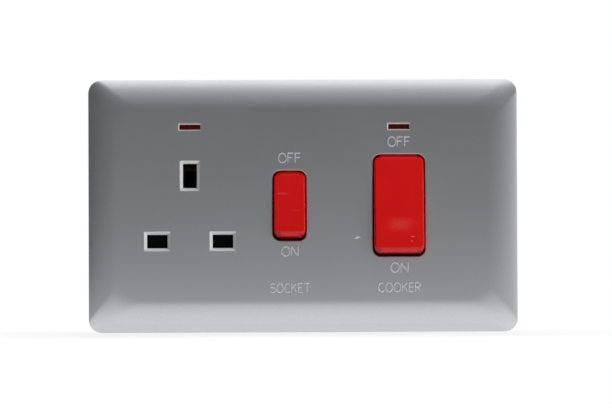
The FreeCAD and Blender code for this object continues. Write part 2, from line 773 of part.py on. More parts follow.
# Bars at the rear of the switches: feed bars carry the ridges that the see-saws rock on
def ridge(body, x):
    root = "bar_depth + bar_thickness/2"
    knife = outline(("seesaw_depth", "0"), (root, "-ridge_half"), (root, "ridge_half"))
    add(body, "YZ", f"{x} - seesaw_width/2", f"{x} + seesaw_width/2", knife)


def fixed_contact(body, x):
    tip = centred(x, "contact_z", "2*contact_half", "2*contact_half")
    add(body, "XZ", "-bar_depth - bar_thickness/2", "-contact_face", tip)


live_feed = new_body("live_feed_bar")
add(
    live_feed, "XZ", "-bar_back", "-bar_depth",
    outline(
        ("cooker_live_x - bar_half_width", "-terminal_inner_z"),
        ("cooker_live_x + bar_half_width", "-terminal_inner_z"),
        ("cooker_live_x + bar_half_width", "bar_top"),
        ("socket_switch_x - bar_half_width", "bar_top"),
        ("socket_switch_x - bar_half_width", "-bar_top"),
        ("cooker_live_x - bar_half_width", "-bar_top"),
    ),
)
ridge(live_feed, "socket_switch_x")
ridge(live_feed, "cooker_live_x")
neutral_feed = new_body("neutral_feed_bar")
add(
    neutral_feed, "XZ", "-bar_back", "-bar_depth",
    box("cooker_neutral_x - bar_half_width", "cooker_neutral_x + bar_half_width", "-terminal_inner_z", "bar_top"),
)
ridge(neutral_feed, "cooker_neutral_x")
for pole in ("live", "neutral"):
    x = f"cooker_{pole}_x"
    load = new_body(f"{pole}_load_bar")
    span = box(f"{x} - bar_half_width", f"{x} + bar_half_width", "load_bar_low", "terminal_inner_z")
    add(load, "XZ", "-bar_back", "-bar_depth", span)
    fixed_contact(load, x)


# Socket contacts: two sprung leaves folded from a bar
def leaves(body, mid_x, mid_z, low, high, upright):
    for near, far in mirrored("leaf_near", "leaf_far"):
        across = (f"{mid_x} - clip_width/2", f"{mid_x} + clip_width/2", f"{mid_z} + {near}", f"{mid_z} + {far}")
        along = (f"{mid_x} + {near}", f"{mid_x} + {far}", f"{mid_z} - clip_width/2", f"{mid_z} + clip_width/2")
        add(body, "XZ", low, high, box(*(along if upright else across)))


live_contact = new_body("live_socket_contact")
step_near, step_far = "live_x + pin_pitch/2 - bar_half_width", "live_x + pin_pitch/2 + bar_half_width"
add(
    live_contact, "XZ", "-bar_back", "-bar_depth",
    outline(
        ("live_x - clip_width/2", "line_z - leaf_far"),
        (step_far, "line_z - leaf_far"),
        (step_far, "load_bar_low"),
        ("socket_switch_x + bar_half_width", "load_bar_low"),
        ("socket_switch_x + bar_half_width", "load_bar_low + 2*bar_half_width"),
        (step_near, "load_bar_low + 2*bar_half_width"),
        (step_near, "line_z + leaf_far"),
        ("live_x - clip_width/2", "line_z + leaf_far"),
    ),
)
leaves(live_contact, "live_x", "line_z", "-bar_depth - bar_thickness/2", "-clip_front + 1", False)
fixed_contact(live_contact, "socket_switch_x")

neutral_contact = new_body("neutral_socket_contact")
add(
    neutral_contact, "XZ", "-link_back", "-link_depth",
    outline(
        ("neutral_x - clip_width/2", "line_z - leaf_far"),
        ("neutral_x + clip_width/2", "line_z - leaf_far"),
        ("neutral_x + clip_width/2", "line_z - link_half_width"),
        ("cooker_neutral_x + link_half_width", "line_z - link_half_width"),
        ("cooker_neutral_x + link_half_width", "line_z + link_half_width"),
        ("neutral_x + clip_width/2", "line_z + link_half_width"),
        ("neutral_x + clip_width/2", "line_z + leaf_far"),
        ("neutral_x - clip_width/2", "line_z + leaf_far"),
    ),
)
leaves(neutral_contact, "neutral_x", "line_z", "-link_depth - bar_thickness/2", "-clip_front + 1", False)
add(
    neutral_contact, "XZ", "-link_depth - bar_thickness/2", "-bar_back",
    centred("cooker_neutral_x", "line_z", "2*link_half_width", "2*link_half_width"),
)

earth_contact = new_body("earth_socket_contact")
add(
    earth_contact, "XZ", "-link_back", "-link_depth",
    outline(
        ("socket_x - leaf_far", "earth_z - clip_width/2"),
        ("socket_x + leaf_far", "earth_z - clip_width/2"),
        ("socket_x + leaf_far", "earth_z - link_half_width"),
        ("earth_terminal_x + link_half_width", "earth_z - link_half_width"),
        ("earth_terminal_x + link_half_width", "terminal_inner_z"),
        ("earth_terminal_x - link_half_width", "terminal_inner_z"),
        ("earth_terminal_x - link_half_width", "earth_z + link_half_width"),
        ("socket_x + leaf_far", "earth_z + link_half_width"),
        ("socket_x + leaf_far", "earth_z + clip_width/2"),
        ("socket_x - leaf_far", "earth_z + clip_width/2"),
    ),
)
leaves(earth_contact, "socket_x", "earth_z", "-link_depth - bar_thickness/2", "-earth_clip_front", True)

# Shutter: two wings over the line holes, a stem between rails and a ramp that the earth pin pushes down
shutter = new_body("shutter")
add(
    shutter, "XZ", "shutter_back", "shutter_front",
    outline(
        ("socket_x - wing_half_width", "wing_low"),
        ("socket_x + wing_half_width", "wing_low"),
        ("socket_x + wing_half_width", "wing_high"),
        ("socket_x + shutter_stem_width/2", "wing_high"),
        ("socket_x + shutter_stem_width/2", "ramp_low_z"),
        ("socket_x - shutter_stem_width/2", "ramp_low_z"),
        ("socket_x - shutter_stem_width/2", "wing_high"),
        ("socket_x - wing_half_width", "wing_high"),
    ),
)
add(
    shutter, "YZ", "socket_x - ramp_width/2", "socket_x + ramp_width/2",
    outline(
        ("-shutter_front", "ramp_low_z"),
        ("-shutter_front", "ramp_low_z - ramp_thickness"),
        ("-shutter_back", "ramp_low_z - ramp_thickness"),
        ("ramp_end_depth", "ramp_high_z - ramp_thickness"),
        ("ramp_end_depth", "ramp_high_z"),
    ),
)
add(
    shutter, "XZ", "shutter_back - spring_seat_reach", "shutter_back + shutter_thickness/2",
    centred("socket_x", "wing_low + spring_seat_height/2", "spring_seat_width", "spring_seat_height"),
)


# Springs: a wire swept along a coil of short straight runs
COIL_RUNS = 6
WIRE_SIDES = 4
SHUTTER_TURNS = 5
PLUNGER_TURNS = 3


def spring(label, turns, length):
    """A coil that stands on the XY plane about the Z axis."""
    radius = value("coil_radius")
    height = value(length) - 2 * value("wire_radius")
    count = turns * COIL_RUNS
    path = doc.addObject("Part::Polygon", f"{label}_path")
    path.Nodes = [
        Vector(
            radius * math.cos(2 * math.pi * i / COIL_RUNS),
            radius * math.sin(2 * math.pi * i / COIL_RUNS),
            value("wire_radius") + height * i / count,
        )
        for i in range(count + 1)
    ]
    wire = doc.addObject("Part::RegularPolygon", f"{label}_wire")
    wire.Polygon = WIRE_SIDES
    bind(wire, Circumradius="wire_radius")
    wire.Placement = FreeCAD.Placement(
        path.Nodes[0], FreeCAD.Rotation(Vector(0, 0, 1), path.Nodes[1] - path.Nodes[0])
    )
    doc.recompute()
    coil = doc.addObject("Part::Sweep", label)
    coil.Sections = [wire]
    coil.Spine = (path, [f"Edge{i + 1}" for i in range(count)])
    coil.Solid = True
    coil.Transition = "Right corner"
    nodes.append(coil)
    return coil


shutter_spring = spring("shutter_spring", SHUTTER_TURNS, "shutter_spring_length")
bind(shutter_spring, Placement__Base__x="socket_x", Placement__Base__y="spring_depth")
bind(shutter_spring, Placement__Base__z="-tray_inner_z + coil_end_gap")

# Rockers, modelled about their pivot and turned to OFF, each with its sprung plungers
for switch in SWITCHES:
    width, height, face = f"{switch}_rocker_width", f"{switch}_rocker_height", f"{switch}_face"
    at_off = (f"{switch}_switch_x", "pivot_out", "0", f"-{switch}_tilt")
    rocker = new_body(f"{switch}_rocker")
    add(rocker, "XZ", "-rocker_skirt", face, rounded("0", "0", width, height, "rocker_corner"))
    front = value(face)
    bevel(rocker, "rocker_edge", lambda edge: lies_at(edge, front))
    remove(
        rocker, "XZ", "-rocker_skirt - 1", f"{face} - rocker_wall",
        centred("0", "0", f"{width} - 2*rocker_wall", f"{height} - 2*rocker_wall"),
    )
    for low, high in mirrored(f"{width}/2 - rocker_wall/2", f"{switch}_ear_far - trunnion_end_gap"):
        add(rocker, "YZ", low, high, disc("0", "0", "trunnion_radius"))
    stems = [centred(offset, "0", "stem_size", "stem_size") for offset in POLES[switch].values()]
    add(rocker, "XZ", "-stem_length", f"{face} - rocker_wall/2", *stems)
    bores = [centred(offset, "0", "bore_size", "bore_size") for offset in POLES[switch].values()]
    remove(rocker, "XZ", "-stem_length - 1", "bore_top", *bores)
    place(rocker, *at_off)
    for pole, offset in POLES[switch].items():
        at_pole = (f"{switch}_switch_x + {offset}", *at_off[1:])
        plunger = new_body(f"{pole}_plunger")
        back, half = "plunger_reach - plunger_length", "plunger_size/2"
        profile = outline(
            (back, f"-{half}"),
            ("plunger_reach - plunger_taper", f"-{half}"),
            ("plunger_reach", f"plunger_taper - {half}"),
            ("plunger_reach", f"{half} - plunger_taper"),
            ("plunger_reach - plunger_taper", half),
            (back, half),
        )
        add(plunger, "YZ", f"-{half}", half, profile)
        place(plunger, *at_pole)

# Coil springs between each plunger and the blind end of its bore
for switch in SWITCHES:
    for pole, offset in POLES[switch].items():
        coil = spring(f"{pole}_plunger_spring", PLUNGER_TURNS, "plunger_spring_length")
        tilt = f"{switch}_tilt*1deg"
        coil.Placement.Rotation = FreeCAD.Rotation(Vector(1, 0, 0), 90 - value(f"{switch}_tilt"))
        bind(coil, Placement__Rotation__Angle=f"90 - {switch}_tilt", Placement__Rotation__Axis__x="1")
        bind(coil, Placement__Rotation__Axis__y="0", Placement__Rotation__Axis__z="0")
        bind(coil, Placement__Base__x=f"{switch}_switch_x + {offset}")
        bind(coil, Placement__Base__y=f"-pivot_out - plunger_spring_base*cos({tilt})")
        bind(coil, Placement__Base__z=f"plunger_spring_base*sin({tilt})")

# See-saw contacts, modelled about the ridge and turned to OFF
for switch in SWITCHES:
    for pole, offset in POLES[switch].items():
        seesaw = new_body(f"{pole}_moving_contact")
        low, high = "seesaw_front - seesaw_thickness", "seesaw_front"
        add(
            seesaw, "XZ", low, high,
            box("-seesaw_width/2", "seesaw_width/2", "-seesaw_lower", "seesaw_upper"),
        )
        add(
            seesaw, "XZ", f"{low} - contact_height", f"{low} + seesaw_thickness/2",
            centred("0", "contact_z", "2*contact_half", "2*contact_half"),
        )
        groove = outline(("-ridge_play", "0"), ("1", "-1 - ridge_play"), ("1", "1 + ridge_play"))
        remove(seesaw, "YZ", "-seesaw_width", "seesaw_width", groove)
        place(seesaw, f"{switch}_switch_x + {offset}", "-seesaw_depth", "0", "seesaw_tilt")

# Neon lenses held behind the frame, lamps in the tray's cradles and their series resistors
for name, (x, way) in NEONS.items():
    lens = new_body(f"{name}_neon_lens")
    add(lens, "XZ", "lens_back", "plate_depth - lens_recess", neon_slot(name, "-lens_play"))
    add(lens, "XZ", "lens_back", "lens_flange_front", centred(x, "neon_z", "lens_flange_width", "lens_flange_height"))
    lamp = new_body(f"{name}_neon_lamp")
    add(lamp, "YZ", f"{x} - lamp_length/2", f"{x} + lamp_length/2", disc("-lamp_out", "lamp_z", "lamp_radius"))
    resistor = new_body(f"{name}_neon_resistor")
    start = f"{x} + {way}*lamp_length/2"
    spans = [
        ("lead_length", "lead_length + resistor_length", disc("-lamp_out", "lamp_z", "resistor_radius")),
        ("0", "2*lead_length + resistor_length", centred("-lamp_out", "lamp_z", "lead_size", "lead_size")),
    ]
    for low, high, loop in spans:
        span = [f"{start} + {way}*({low})", f"{start} + {way}*({high})"]
        add(resistor, "YZ", *(span if way > 0 else span[::-1]), loop)

# Every piece is checked before its file is written
doc.recompute()
for thing in doc.Objects:
    if "Invalid" in thing.State or "Error" in thing.State:
        raise RuntimeError(f"{thing.Name} did not recompute")
os.makedirs("parts", exist_ok=True)
for node in nodes:
    shape = node.Shape
    if shape.isNull() or not shape.isValid() or not shape.Solids:
        raise RuntimeError(f"{node.Label} has no valid solid")
    shape.exportStep(f"parts/{node.Label}.step")
print(len(nodes), "pieces written")
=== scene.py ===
# %% [markdown]
# # A cooker control unit on a white sweep
# The unit joins a kitchen's cooker circuit to the wall: a shuttered three-pin socket, a small rocker for it
# and a large rocker for the cooker, behind one domed silver cover.
# The solids come from the CAD frame and stay as they are. This lesson adds what CAD leaves out: finishes,
# softened edges, raised legends, small marks of use, painted highlights and shade, light and a camera.

# %% Load the CAD frame
import bmesh
import bpy
import json
import math
from mathutils import Matrix, Vector

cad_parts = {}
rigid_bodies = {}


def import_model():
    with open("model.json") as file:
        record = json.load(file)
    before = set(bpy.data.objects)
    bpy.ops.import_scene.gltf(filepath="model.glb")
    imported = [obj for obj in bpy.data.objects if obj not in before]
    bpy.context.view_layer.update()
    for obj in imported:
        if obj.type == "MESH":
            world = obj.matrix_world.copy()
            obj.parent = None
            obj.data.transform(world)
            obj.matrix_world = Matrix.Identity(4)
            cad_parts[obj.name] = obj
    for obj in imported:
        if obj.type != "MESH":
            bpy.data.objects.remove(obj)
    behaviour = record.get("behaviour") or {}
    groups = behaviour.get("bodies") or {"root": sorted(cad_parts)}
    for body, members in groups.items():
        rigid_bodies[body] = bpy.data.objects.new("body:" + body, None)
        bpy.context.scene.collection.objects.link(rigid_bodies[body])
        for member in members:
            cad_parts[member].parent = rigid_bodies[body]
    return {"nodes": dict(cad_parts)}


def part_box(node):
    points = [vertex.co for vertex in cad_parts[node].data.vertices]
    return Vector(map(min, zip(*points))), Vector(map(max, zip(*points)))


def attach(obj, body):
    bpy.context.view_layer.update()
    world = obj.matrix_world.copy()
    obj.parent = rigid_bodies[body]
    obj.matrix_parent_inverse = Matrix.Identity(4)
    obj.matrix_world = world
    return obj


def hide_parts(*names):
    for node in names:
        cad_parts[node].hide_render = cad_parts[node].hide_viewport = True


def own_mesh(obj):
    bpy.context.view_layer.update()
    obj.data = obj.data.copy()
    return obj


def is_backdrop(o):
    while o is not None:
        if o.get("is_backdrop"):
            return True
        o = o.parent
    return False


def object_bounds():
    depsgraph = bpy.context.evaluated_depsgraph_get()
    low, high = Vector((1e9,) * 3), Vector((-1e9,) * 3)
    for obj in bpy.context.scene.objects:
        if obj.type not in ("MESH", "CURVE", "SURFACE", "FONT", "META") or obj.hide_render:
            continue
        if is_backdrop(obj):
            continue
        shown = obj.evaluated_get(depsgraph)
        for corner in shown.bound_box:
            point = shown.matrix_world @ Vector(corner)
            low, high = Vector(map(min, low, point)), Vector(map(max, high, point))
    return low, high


for leftover in list(bpy.data.objects):
    bpy.data.objects.remove(leftover)
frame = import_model()
nodes = frame["nodes"]
scene = bpy.context.scene
cad_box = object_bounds()
MM = 0.001
print("CAD nodes:", len(nodes), "box in mm:", [[round(v / MM, 1) for v in corner] for corner in cad_box])

# %% [markdown]
# ## Helpers for node trees
# Every finish below is a small graph of shader nodes. Colours are written as the hex values that an eye reads
# from a screen, so one function turns them into the linear light that Cycles counts in.
# A second function adds any node, sets its options and plugs its inputs, which keeps each finish to a few lines.
# Patterns are sized in millimetres of the real surface, and all of them read Object coordinates.


# %% Colour and node helpers
def linear(hex_code):
    """A colour written as RRGGBB, as linear light with full alpha."""
    parts = [int(hex_code[i:i + 2], 16) / 255 for i in (0, 2, 4)]
    return (*[p / 12.92 if p <= 0.04045 else ((p + 0.055) / 1.055) ** 2.4 for p in parts], 1.0)


def add_node(tree, kind, plugs=None, **settings):
    """Adds a node; a plug is a plain value or the output socket of another node."""
    node = tree.nodes.new(kind)
    for name, setting in settings.items():
        setattr(node, name, setting)
    for name, given in (plugs or {}).items():
        if isinstance(given, bpy.types.NodeSocket):
            tree.links.new(given, node.inputs[name])
        else:
            node.inputs[name].default_value = given
    return node


def begin_finish(name, **uniform):
    """A new material with one Principled shader; what is the same all over is set on its sockets."""
    finish = bpy.data.materials.new(name)
    finish.use_nodes = True
    tree = finish.node_tree
    tree.nodes.clear()
    shader = add_node(tree, "ShaderNodeBsdfPrincipled", {k.replace("_", " "): v for k, v in uniform.items()})
    add_node(tree, "ShaderNodeOutputMaterial", {"Surface": shader.outputs[0]})
    place = add_node(tree, "ShaderNodeTexCoord").outputs["Object"]
    return finish, tree, shader, place


def per_metre(size_mm):
    """Texture scale at which one cell of a pattern measures that many millimetres."""
    return 1 / (size_mm * MM)


print("white:", [round(v, 3) for v in linear("FFFFFF")], "cells of 2 mm:", per_metre(2))

# %% [markdown]
# ## Masks for small marks
# A used switch carries a chip, rubs and a smudge. Each is a soft ellipse on the front, so one function makes the
# mask: it moves the coordinates to the mark, turns and scales them, and compares the distance with 1. A little
# noise added to that distance makes the outline ragged. Painting the marks by hand would need an image texture.


# %% A mask for one mark
def spot(tree, place, centre_mm, half_mm, turn_deg=0.0, ragged=0.0, ragged_mm=0.6, fade=0.4):
    """A mask that is 1 on a small ellipse of the XZ face and fades out at its edge."""
    centred = add_node(tree, "ShaderNodeMapping", {
        "Vector": place,
        "Location": (-centre_mm[0] * MM, 0, -centre_mm[1] * MM),
    })
    turned = add_node(tree, "ShaderNodeMapping", {
        "Vector": centred.outputs[0],
        "Rotation": (0, math.radians(turn_deg), 0),
    })
    scaled = add_node(tree, "ShaderNodeVectorMath", {
        0: turned.outputs[0],
        1: (1 / (half_mm[0] * MM), 0, 1 / (half_mm[1] * MM)),
    }, operation="MULTIPLY")
    reach = add_node(tree, "ShaderNodeVectorMath", {0: scaled.outputs[0]}, operation="LENGTH")
    grain = add_node(tree, "ShaderNodeTexNoise", {"Vector": place, "Scale": per_metre(ragged_mm), "Detail": 2.0})
    shaken = add_node(tree, "ShaderNodeMath", {
        0: grain.outputs[0], 1: 2 * ragged, 2: reach.outputs["Value"],
    }, operation="MULTIPLY_ADD")
    return add_node(tree, "ShaderNodeMapRange", {
        "Value": shaken.outputs[0],
        "From Min": 1 + ragged, "From Max": 1 + ragged - fade, "To Min": 0.0, "To Max": 1.0,
    }, interpolation_type="SMOOTHSTEP").outputs[0]


def any_mark(tree, masks):
    """Joins the masks of several marks: a point counts where any of them says so."""
    joined = masks[0]
    for mask in masks[1:]:
        joined = add_node(tree, "ShaderNodeMath", {0: joined, 1: mask}, operation="MAXIMUM").outputs[0]
    return joined


print("mask helpers:", spot.__name__, any_mark.__name__)

# %% [markdown]
# ## Silver paint on the cover
# The cover is moulded plastic sprayed with a silver lacquer: metal flakes under a satin clear layer. Flakes make
# it behave like soft metal, so the rolled border shows the room as broad light and dark bands.
# A plain grey plastic would stay flat there. Real flakes are under 0.1 mm, so the speckle is drawn at 0.5 mm to show.

# %% Silver lacquer
# Satin flakes give the eye wide soft highlights, and close up a fine speckle
silver, tree, shader, place = begin_finish("silver_lacquer_on_moulded_plastic", Coat_Weight=0.1,
                                           Coat_Roughness=0.3)
flakes = add_node(tree, "ShaderNodeTexNoise", {"Vector": place, "Scale": per_metre(0.5), "Detail": 3.0})
clouds = add_node(tree, "ShaderNodeTexNoise", {"Vector": place, "Scale": per_metre(28), "Detail": 2.0})
tone = add_node(tree, "ShaderNodeMix", {
    0: flakes.outputs[0], 6: linear("CCCED2"), 7: linear("DADCDF"),
}, data_type="RGBA")
dull = add_node(tree, "ShaderNodeMapRange", {"Value": clouds.outputs[0], "To Min": 0.44, "To Max": 0.51})
grain = add_node(tree, "ShaderNodeBump", {"Height": flakes.outputs[0], "Strength": 0.06, "Distance": 0.02 * MM})
tree.links.new(grain.outputs[0], shader.inputs["Normal"])
print("finish:", silver.name)

# %% [markdown]
# ## Painted highlights and reflections, and a chip, on the paint
# The slanted edges of the pin holes are painted pale as a painted highlight of the light they catch, the slanted
# edges of the neon slots are painted pink as a painted reflection of the red lens, and one chip shows beside the
# large rocker. The slanted faces are found by their normal: the flat face looks straight along -Y. On the chip and
# on these painted edges the flakes are left out, so metallic falls there too.
# Separate pieces for such thin marks would need edges that no eye sees.

# %% Marks on the lacquer
SOCKET_X, EARTH_Z, PIN_PITCH, LINE_Z = -38.4, 10.2, 22.2, -12.0
SOCKET_SWITCH_X, COOKER_SWITCH_X, NEON_Z = -4.7, 32.4, 26.7
# How strongly the painted highlight and the painted reflection show on the slanted edges
PAINTED_EDGE_SHARE = 0.6
facing = add_node(tree, "ShaderNodeSeparateXYZ", {0: place.node.outputs["Normal"]}).outputs["Y"]
slanted = add_node(tree, "ShaderNodeMapRange", {
    "Value": facing, "From Min": -0.97, "From Max": -0.8, "To Max": PAINTED_EDGE_SHARE,
}).outputs[0]
around_pins = [spot(tree, place, (SOCKET_X, EARTH_Z), (6.0, 8.5))]
around_pins += [spot(tree, place, (SOCKET_X + side * PIN_PITCH / 2, LINE_Z), (7.5, 6.0)) for side in (-1, 1)]
# The bevels of the neon slots get a painted reflection of the red lens
around_neons = [spot(tree, place, (x, NEON_Z), (6.0, 3.0)) for x in (SOCKET_X, COOKER_SWITCH_X)]
chip = any_mark(tree, [
    spot(tree, place, (18.2, -11.0), (1.1, 0.34), turn_deg=14, ragged=0.35, ragged_mm=0.5),
    spot(tree, place, (18.5, -10.75), (0.55, 0.34), turn_deg=-25, ragged=0.35, ragged_mm=0.5),
])
# Pale pin-hole bevels are a painted highlight; pink neon-slot bevels are a painted reflection of the red lens
pin_bevel_highlight, slot_red_reflection = [
    add_node(tree, "ShaderNodeMath", {0: any_mark(tree, masks), 1: slanted}, operation="MULTIPLY").outputs[0]
    for masks in (around_pins, around_neons)
]
colour = tone.outputs[2]
# Pale for the painted highlight, pink for the painted reflection, light grey for the chip
for mask, code in ((pin_bevel_highlight, "F4F4F2"), (slot_red_reflection, "E8B4B0"), (chip, "CACAC8")):
    colour = add_node(tree, "ShaderNodeMix", {0: mask, 6: colour, 7: linear(code)}, data_type="RGBA").outputs[2]
chip_and_painted_edges = any_mark(tree, [chip, pin_bevel_highlight, slot_red_reflection])
gloss = add_node(tree, "ShaderNodeMix", {0: pin_bevel_highlight, 2: dull.outputs[0], 3: 0.25})
flaky = add_node(tree, "ShaderNodeMapRange", {"Value": chip_and_painted_edges, "To Min": 0.94, "To Max": 0.0})
tree.links.new(colour, shader.inputs["Base Color"])
tree.links.new(flaky.outputs[0], shader.inputs["Metallic"])
tree.links.new(gloss.outputs[0], shader.inputs["Roughness"])
print("finish:", silver.name, len(tree.nodes), "nodes")

# %% [markdown]
# ## Red rockers
# The rockers are moulded in red polycarbonate and polished by fingers. A gloss plastic keeps its own colour and
# adds clear reflections at its rounded edges. The large rocker carries two tiny scratches and a lighter, duller
# patch that is a painted highlight, the small one two lighter streaks: each is a mask in its own finish, so that it
# stays on the piece when that tilts.


# %% Red polycarbonate
def red_plastic(name, marks):
    """Polished red plastic: deep even colour, and a crisp pale line where an edge turns to the light."""
    finish, tree, shader, place = begin_finish(name, IOR=1.5)
    swirl = add_node(tree, "ShaderNodeTexNoise", {"Vector": place, "Scale": per_metre(9), "Detail": 3.0})
    colour = add_node(tree, "ShaderNodeMix", {
        0: swirl.outputs[0], 6: linear("CC0606"), 7: linear("D40A0A"),
    }, data_type="RGBA").outputs[2]
    gloss = add_node(tree, "ShaderNodeMapRange", {
        "Value": swirl.outputs[0], "To Min": 0.2, "To Max": 0.3,
    }).outputs[0]
    for tint, share, rough, shape in marks:
        mask = add_node(tree, "ShaderNodeMath", {
            0: spot(tree, place, **shape), 1: share,
        }, operation="MULTIPLY").outputs[0]
        colour = add_node(tree, "ShaderNodeMix", {0: mask, 6: colour, 7: linear(tint)}, data_type="RGBA").outputs[2]
        gloss = add_node(tree, "ShaderNodeMix", {0: mask, 2: gloss, 3: rough}).outputs[0]
    skin = add_node(tree, "ShaderNodeTexNoise", {"Vector": place, "Scale": per_metre(0.7), "Detail": 2.0})
    bump = add_node(tree, "ShaderNodeBump", {"Height": skin.outputs[0], "Strength": 0.05, "Distance": 0.02 * MM})
    tree.links.new(colour, shader.inputs["Base Color"])
    tree.links.new(gloss, shader.inputs["Roughness"])
    tree.links.new(bump.outputs[0], shader.inputs["Normal"])
    print("finish:", finish.name, len(tree.nodes), "nodes")
    return finish


# Each mark: tint, how much of it shows, how dull it is, and the shape of its mask
# Two lighter streaks across the small rocker's face
LIGHT_STREAK = {"centre_mm": (-7.2, 4.1), "half_mm": (2.4, 0.4), "ragged": 0.2}
FAINT_LIGHT_STREAK = {"centre_mm": (-2.6, -1.6), "half_mm": (2.6, 0.25), "ragged": 0.2}
# A lighter, duller patch on the large rocker: a painted highlight of a soft reflection
PAINTED_SOFT_HIGHLIGHT = {"centre_mm": (32.8, -6.6), "half_mm": (7.0, 3.4), "ragged": 0.2, "ragged_mm": 2.5, "fade": 1.2}
LONG_SCRATCH = {"centre_mm": (37.0, -10.6), "half_mm": (0.75, 0.22), "ragged": 0.2}
SHORT_SCRATCH = {"centre_mm": (36.6, -12.2), "half_mm": (0.4, 0.25), "ragged": 0.3}
socket_red = red_plastic("red_polycarbonate_socket_rocker", [
    ("E0504C", 0.3, 0.45, LIGHT_STREAK),
    ("D83A38", 0.25, 0.4, FAINT_LIGHT_STREAK),
])
cooker_red = red_plastic("red_polycarbonate_cooker_rocker", [
    ("E05A54", 0.3, 0.5, PAINTED_SOFT_HIGHLIGHT),
    ("E87068", 0.6, 0.5, LONG_SCRATCH),
    ("E87068", 0.6, 0.5, SHORT_SCRATCH),
])

# %% [markdown]
# ## The hidden plastics
# The frame and the shutter behind the cover are black polycarbonate, near black so that it also stands as painted
# shade in every hole and gap.
# The wiring tray is white urea resin, hard and a little shiny, as in most wall accessories. The plungers are
# natural nylon, which looks waxy because light goes a short way into it. One function makes all three, because only
# tone, gloss and grain differ. The grain of such a mould is finer than 0.1 mm, so it is drawn at about half a
# millimetre to show at all.


# %% Moulded plastics
def moulded_plastic(name, low, high, rough, spark_mm, **uniform):
    """Plastic from an eroded mould: two close tones, and a fine grain in the surface."""
    finish, tree, shader, place = begin_finish(name, **uniform)
    haze = add_node(tree, "ShaderNodeTexNoise", {"Vector": place, "Scale": per_metre(12), "Detail": 4.0})
    grain = add_node(tree, "ShaderNodeTexNoise", {"Vector": place, "Scale": per_metre(spark_mm), "Detail": 2.0})
    colour = add_node(tree, "ShaderNodeMix", {
        0: haze.outputs[0], 6: linear(low), 7: linear(high),
    }, data_type="RGBA")
    sheen = add_node(tree, "ShaderNodeMapRange", {
        "Value": haze.outputs[0], "To Min": rough - 0.06, "To Max": rough + 0.06,
    })
    bump = add_node(tree, "ShaderNodeBump", {"Height": grain.outputs[0], "Strength": 0.12, "Distance": 0.03 * MM})
    tree.links.new(colour.outputs[2], shader.inputs["Base Color"])
    tree.links.new(sheen.outputs[0], shader.inputs["Roughness"])
    tree.links.new(bump.outputs[0], shader.inputs["Normal"])
    print("finish:", finish.name)
    return finish


# Near black that hardly shines: a painted shade, so that each hole shows as depth and not as a surface
near_black_and_shade = moulded_plastic("black_moulding_and_painted_shade", "030303", "070707", 0.6, 0.4, Specular_IOR_Level=0.15)
# Hard resin: a warm white with a clear sheen along its edges
white = moulded_plastic("white_urea_moulding", "DCDBD4", "E6E5DF", 0.35, 0.6, IOR=1.6)
# Unpigmented nylon: cream, with soft shadows because light spreads inside it
nylon = moulded_plastic("natural_nylon_moulding", "DCD6C4", "E9E4D6", 0.4, 0.5, IOR=1.53, Subsurface_Weight=0.2,
                        Subsurface_Scale=0.4 * MM)

# %% [markdown]
# ## Brass, plated steel and spring wire
# Contacts and terminals are stamped or sawn brass, the screws zinc-plated steel, the springs hard-drawn wire.
# All three are bare metals, so colour and gloss do the work: brass tarnishes in soft brown patches, and rolled
# stock has fine lines along its length, made here by stretching a noise along one axis. Real lines are a tenth as
# wide as these, which are drawn wide enough to show.


# %% Bare metals
def bare_metal(name, clean, aged, rough, line_mm):
    """Metal with aged patches, whose fine lines draw each highlight out sideways."""
    finish, tree, shader, place = begin_finish(name, Metallic=1.0)
    patches = add_node(tree, "ShaderNodeTexNoise", {"Vector": place, "Scale": per_metre(4), "Detail": 5.0})
    share = add_node(tree, "ShaderNodeMapRange", {"Value": patches.outputs[0], "From Min": 0.4, "From Max": 0.75})
    stretched = add_node(tree, "ShaderNodeMapping", {"Vector": place, "Scale": (0.06, 1, 1)})
    lines = add_node(tree, "ShaderNodeTexNoise", {
        "Vector": stretched.outputs[0], "Scale": per_metre(line_mm), "Detail": 2.0,
    })
    colour = add_node(tree, "ShaderNodeMix", {
        0: share.outputs[0], 6: linear(clean), 7: linear(aged),
    }, data_type="RGBA")
    gloss = add_node(tree, "ShaderNodeMapRange", {
        "Value": lines.outputs[0], "To Min": rough - 0.08, "To Max": rough + 0.1,
    })
    bump = add_node(tree, "ShaderNodeBump", {"Height": lines.outputs[0], "Strength": 0.1, "Distance": 0.02 * MM})
    tree.links.new(colour.outputs[2], shader.inputs["Base Color"])
    tree.links.new(gloss.outputs[0], shader.inputs["Roughness"])
    tree.links.new(bump.outputs[0], shader.inputs["Normal"])
    print("finish:", finish.name)
    return finish


# Yellow with brown patches, cool grey with a little yellow, and a darker even grey
brass = bare_metal("rolled_brass", "D6B06A", "A67F45", 0.3, 0.25)
steel = bare_metal("zinc_plated_steel", "C9CBCB", "A9A79C", 0.28, 0.3)
wire = bare_metal("hard_drawn_spring_wire", "A4A5A6", "858483", 0.25, 0.2)

# %% [markdown]
# ## Neon windows
# Each indicator is a small red lens with a neon lamp behind. Switched off, the lens is a dark maroon bar. It is
# tinted clear plastic, so transmission lets a little of the dark inside through, with a faint moulding haze.
# A material that glows would show it switched on. The lamp is thin glass, smoked a little by use.


# %% Lens and lamp glass
def clear_finish(name, low, high, spread_mm, smooth, rough, **uniform):
    """Clear plastic or glass whose tint and haze drift together."""
    finish, tree, shader, place = begin_finish(name, **uniform)
    cloud = add_node(tree, "ShaderNodeTexNoise", {"Vector": place, "Scale": per_metre(spread_mm), "Detail": 3.0})
    tint = add_node(tree, "ShaderNodeMix", {
        0: cloud.outputs[0], 6: linear(low), 7: linear(high),
    }, data_type="RGBA")
    haze = add_node(tree, "ShaderNodeMapRange", {"Value": cloud.outputs[0], "To Min": smooth, "To Max": rough})
    tree.links.new(tint.outputs[2], shader.inputs["Base Color"])
    tree.links.new(haze.outputs[0], shader.inputs["Roughness"])
    return finish


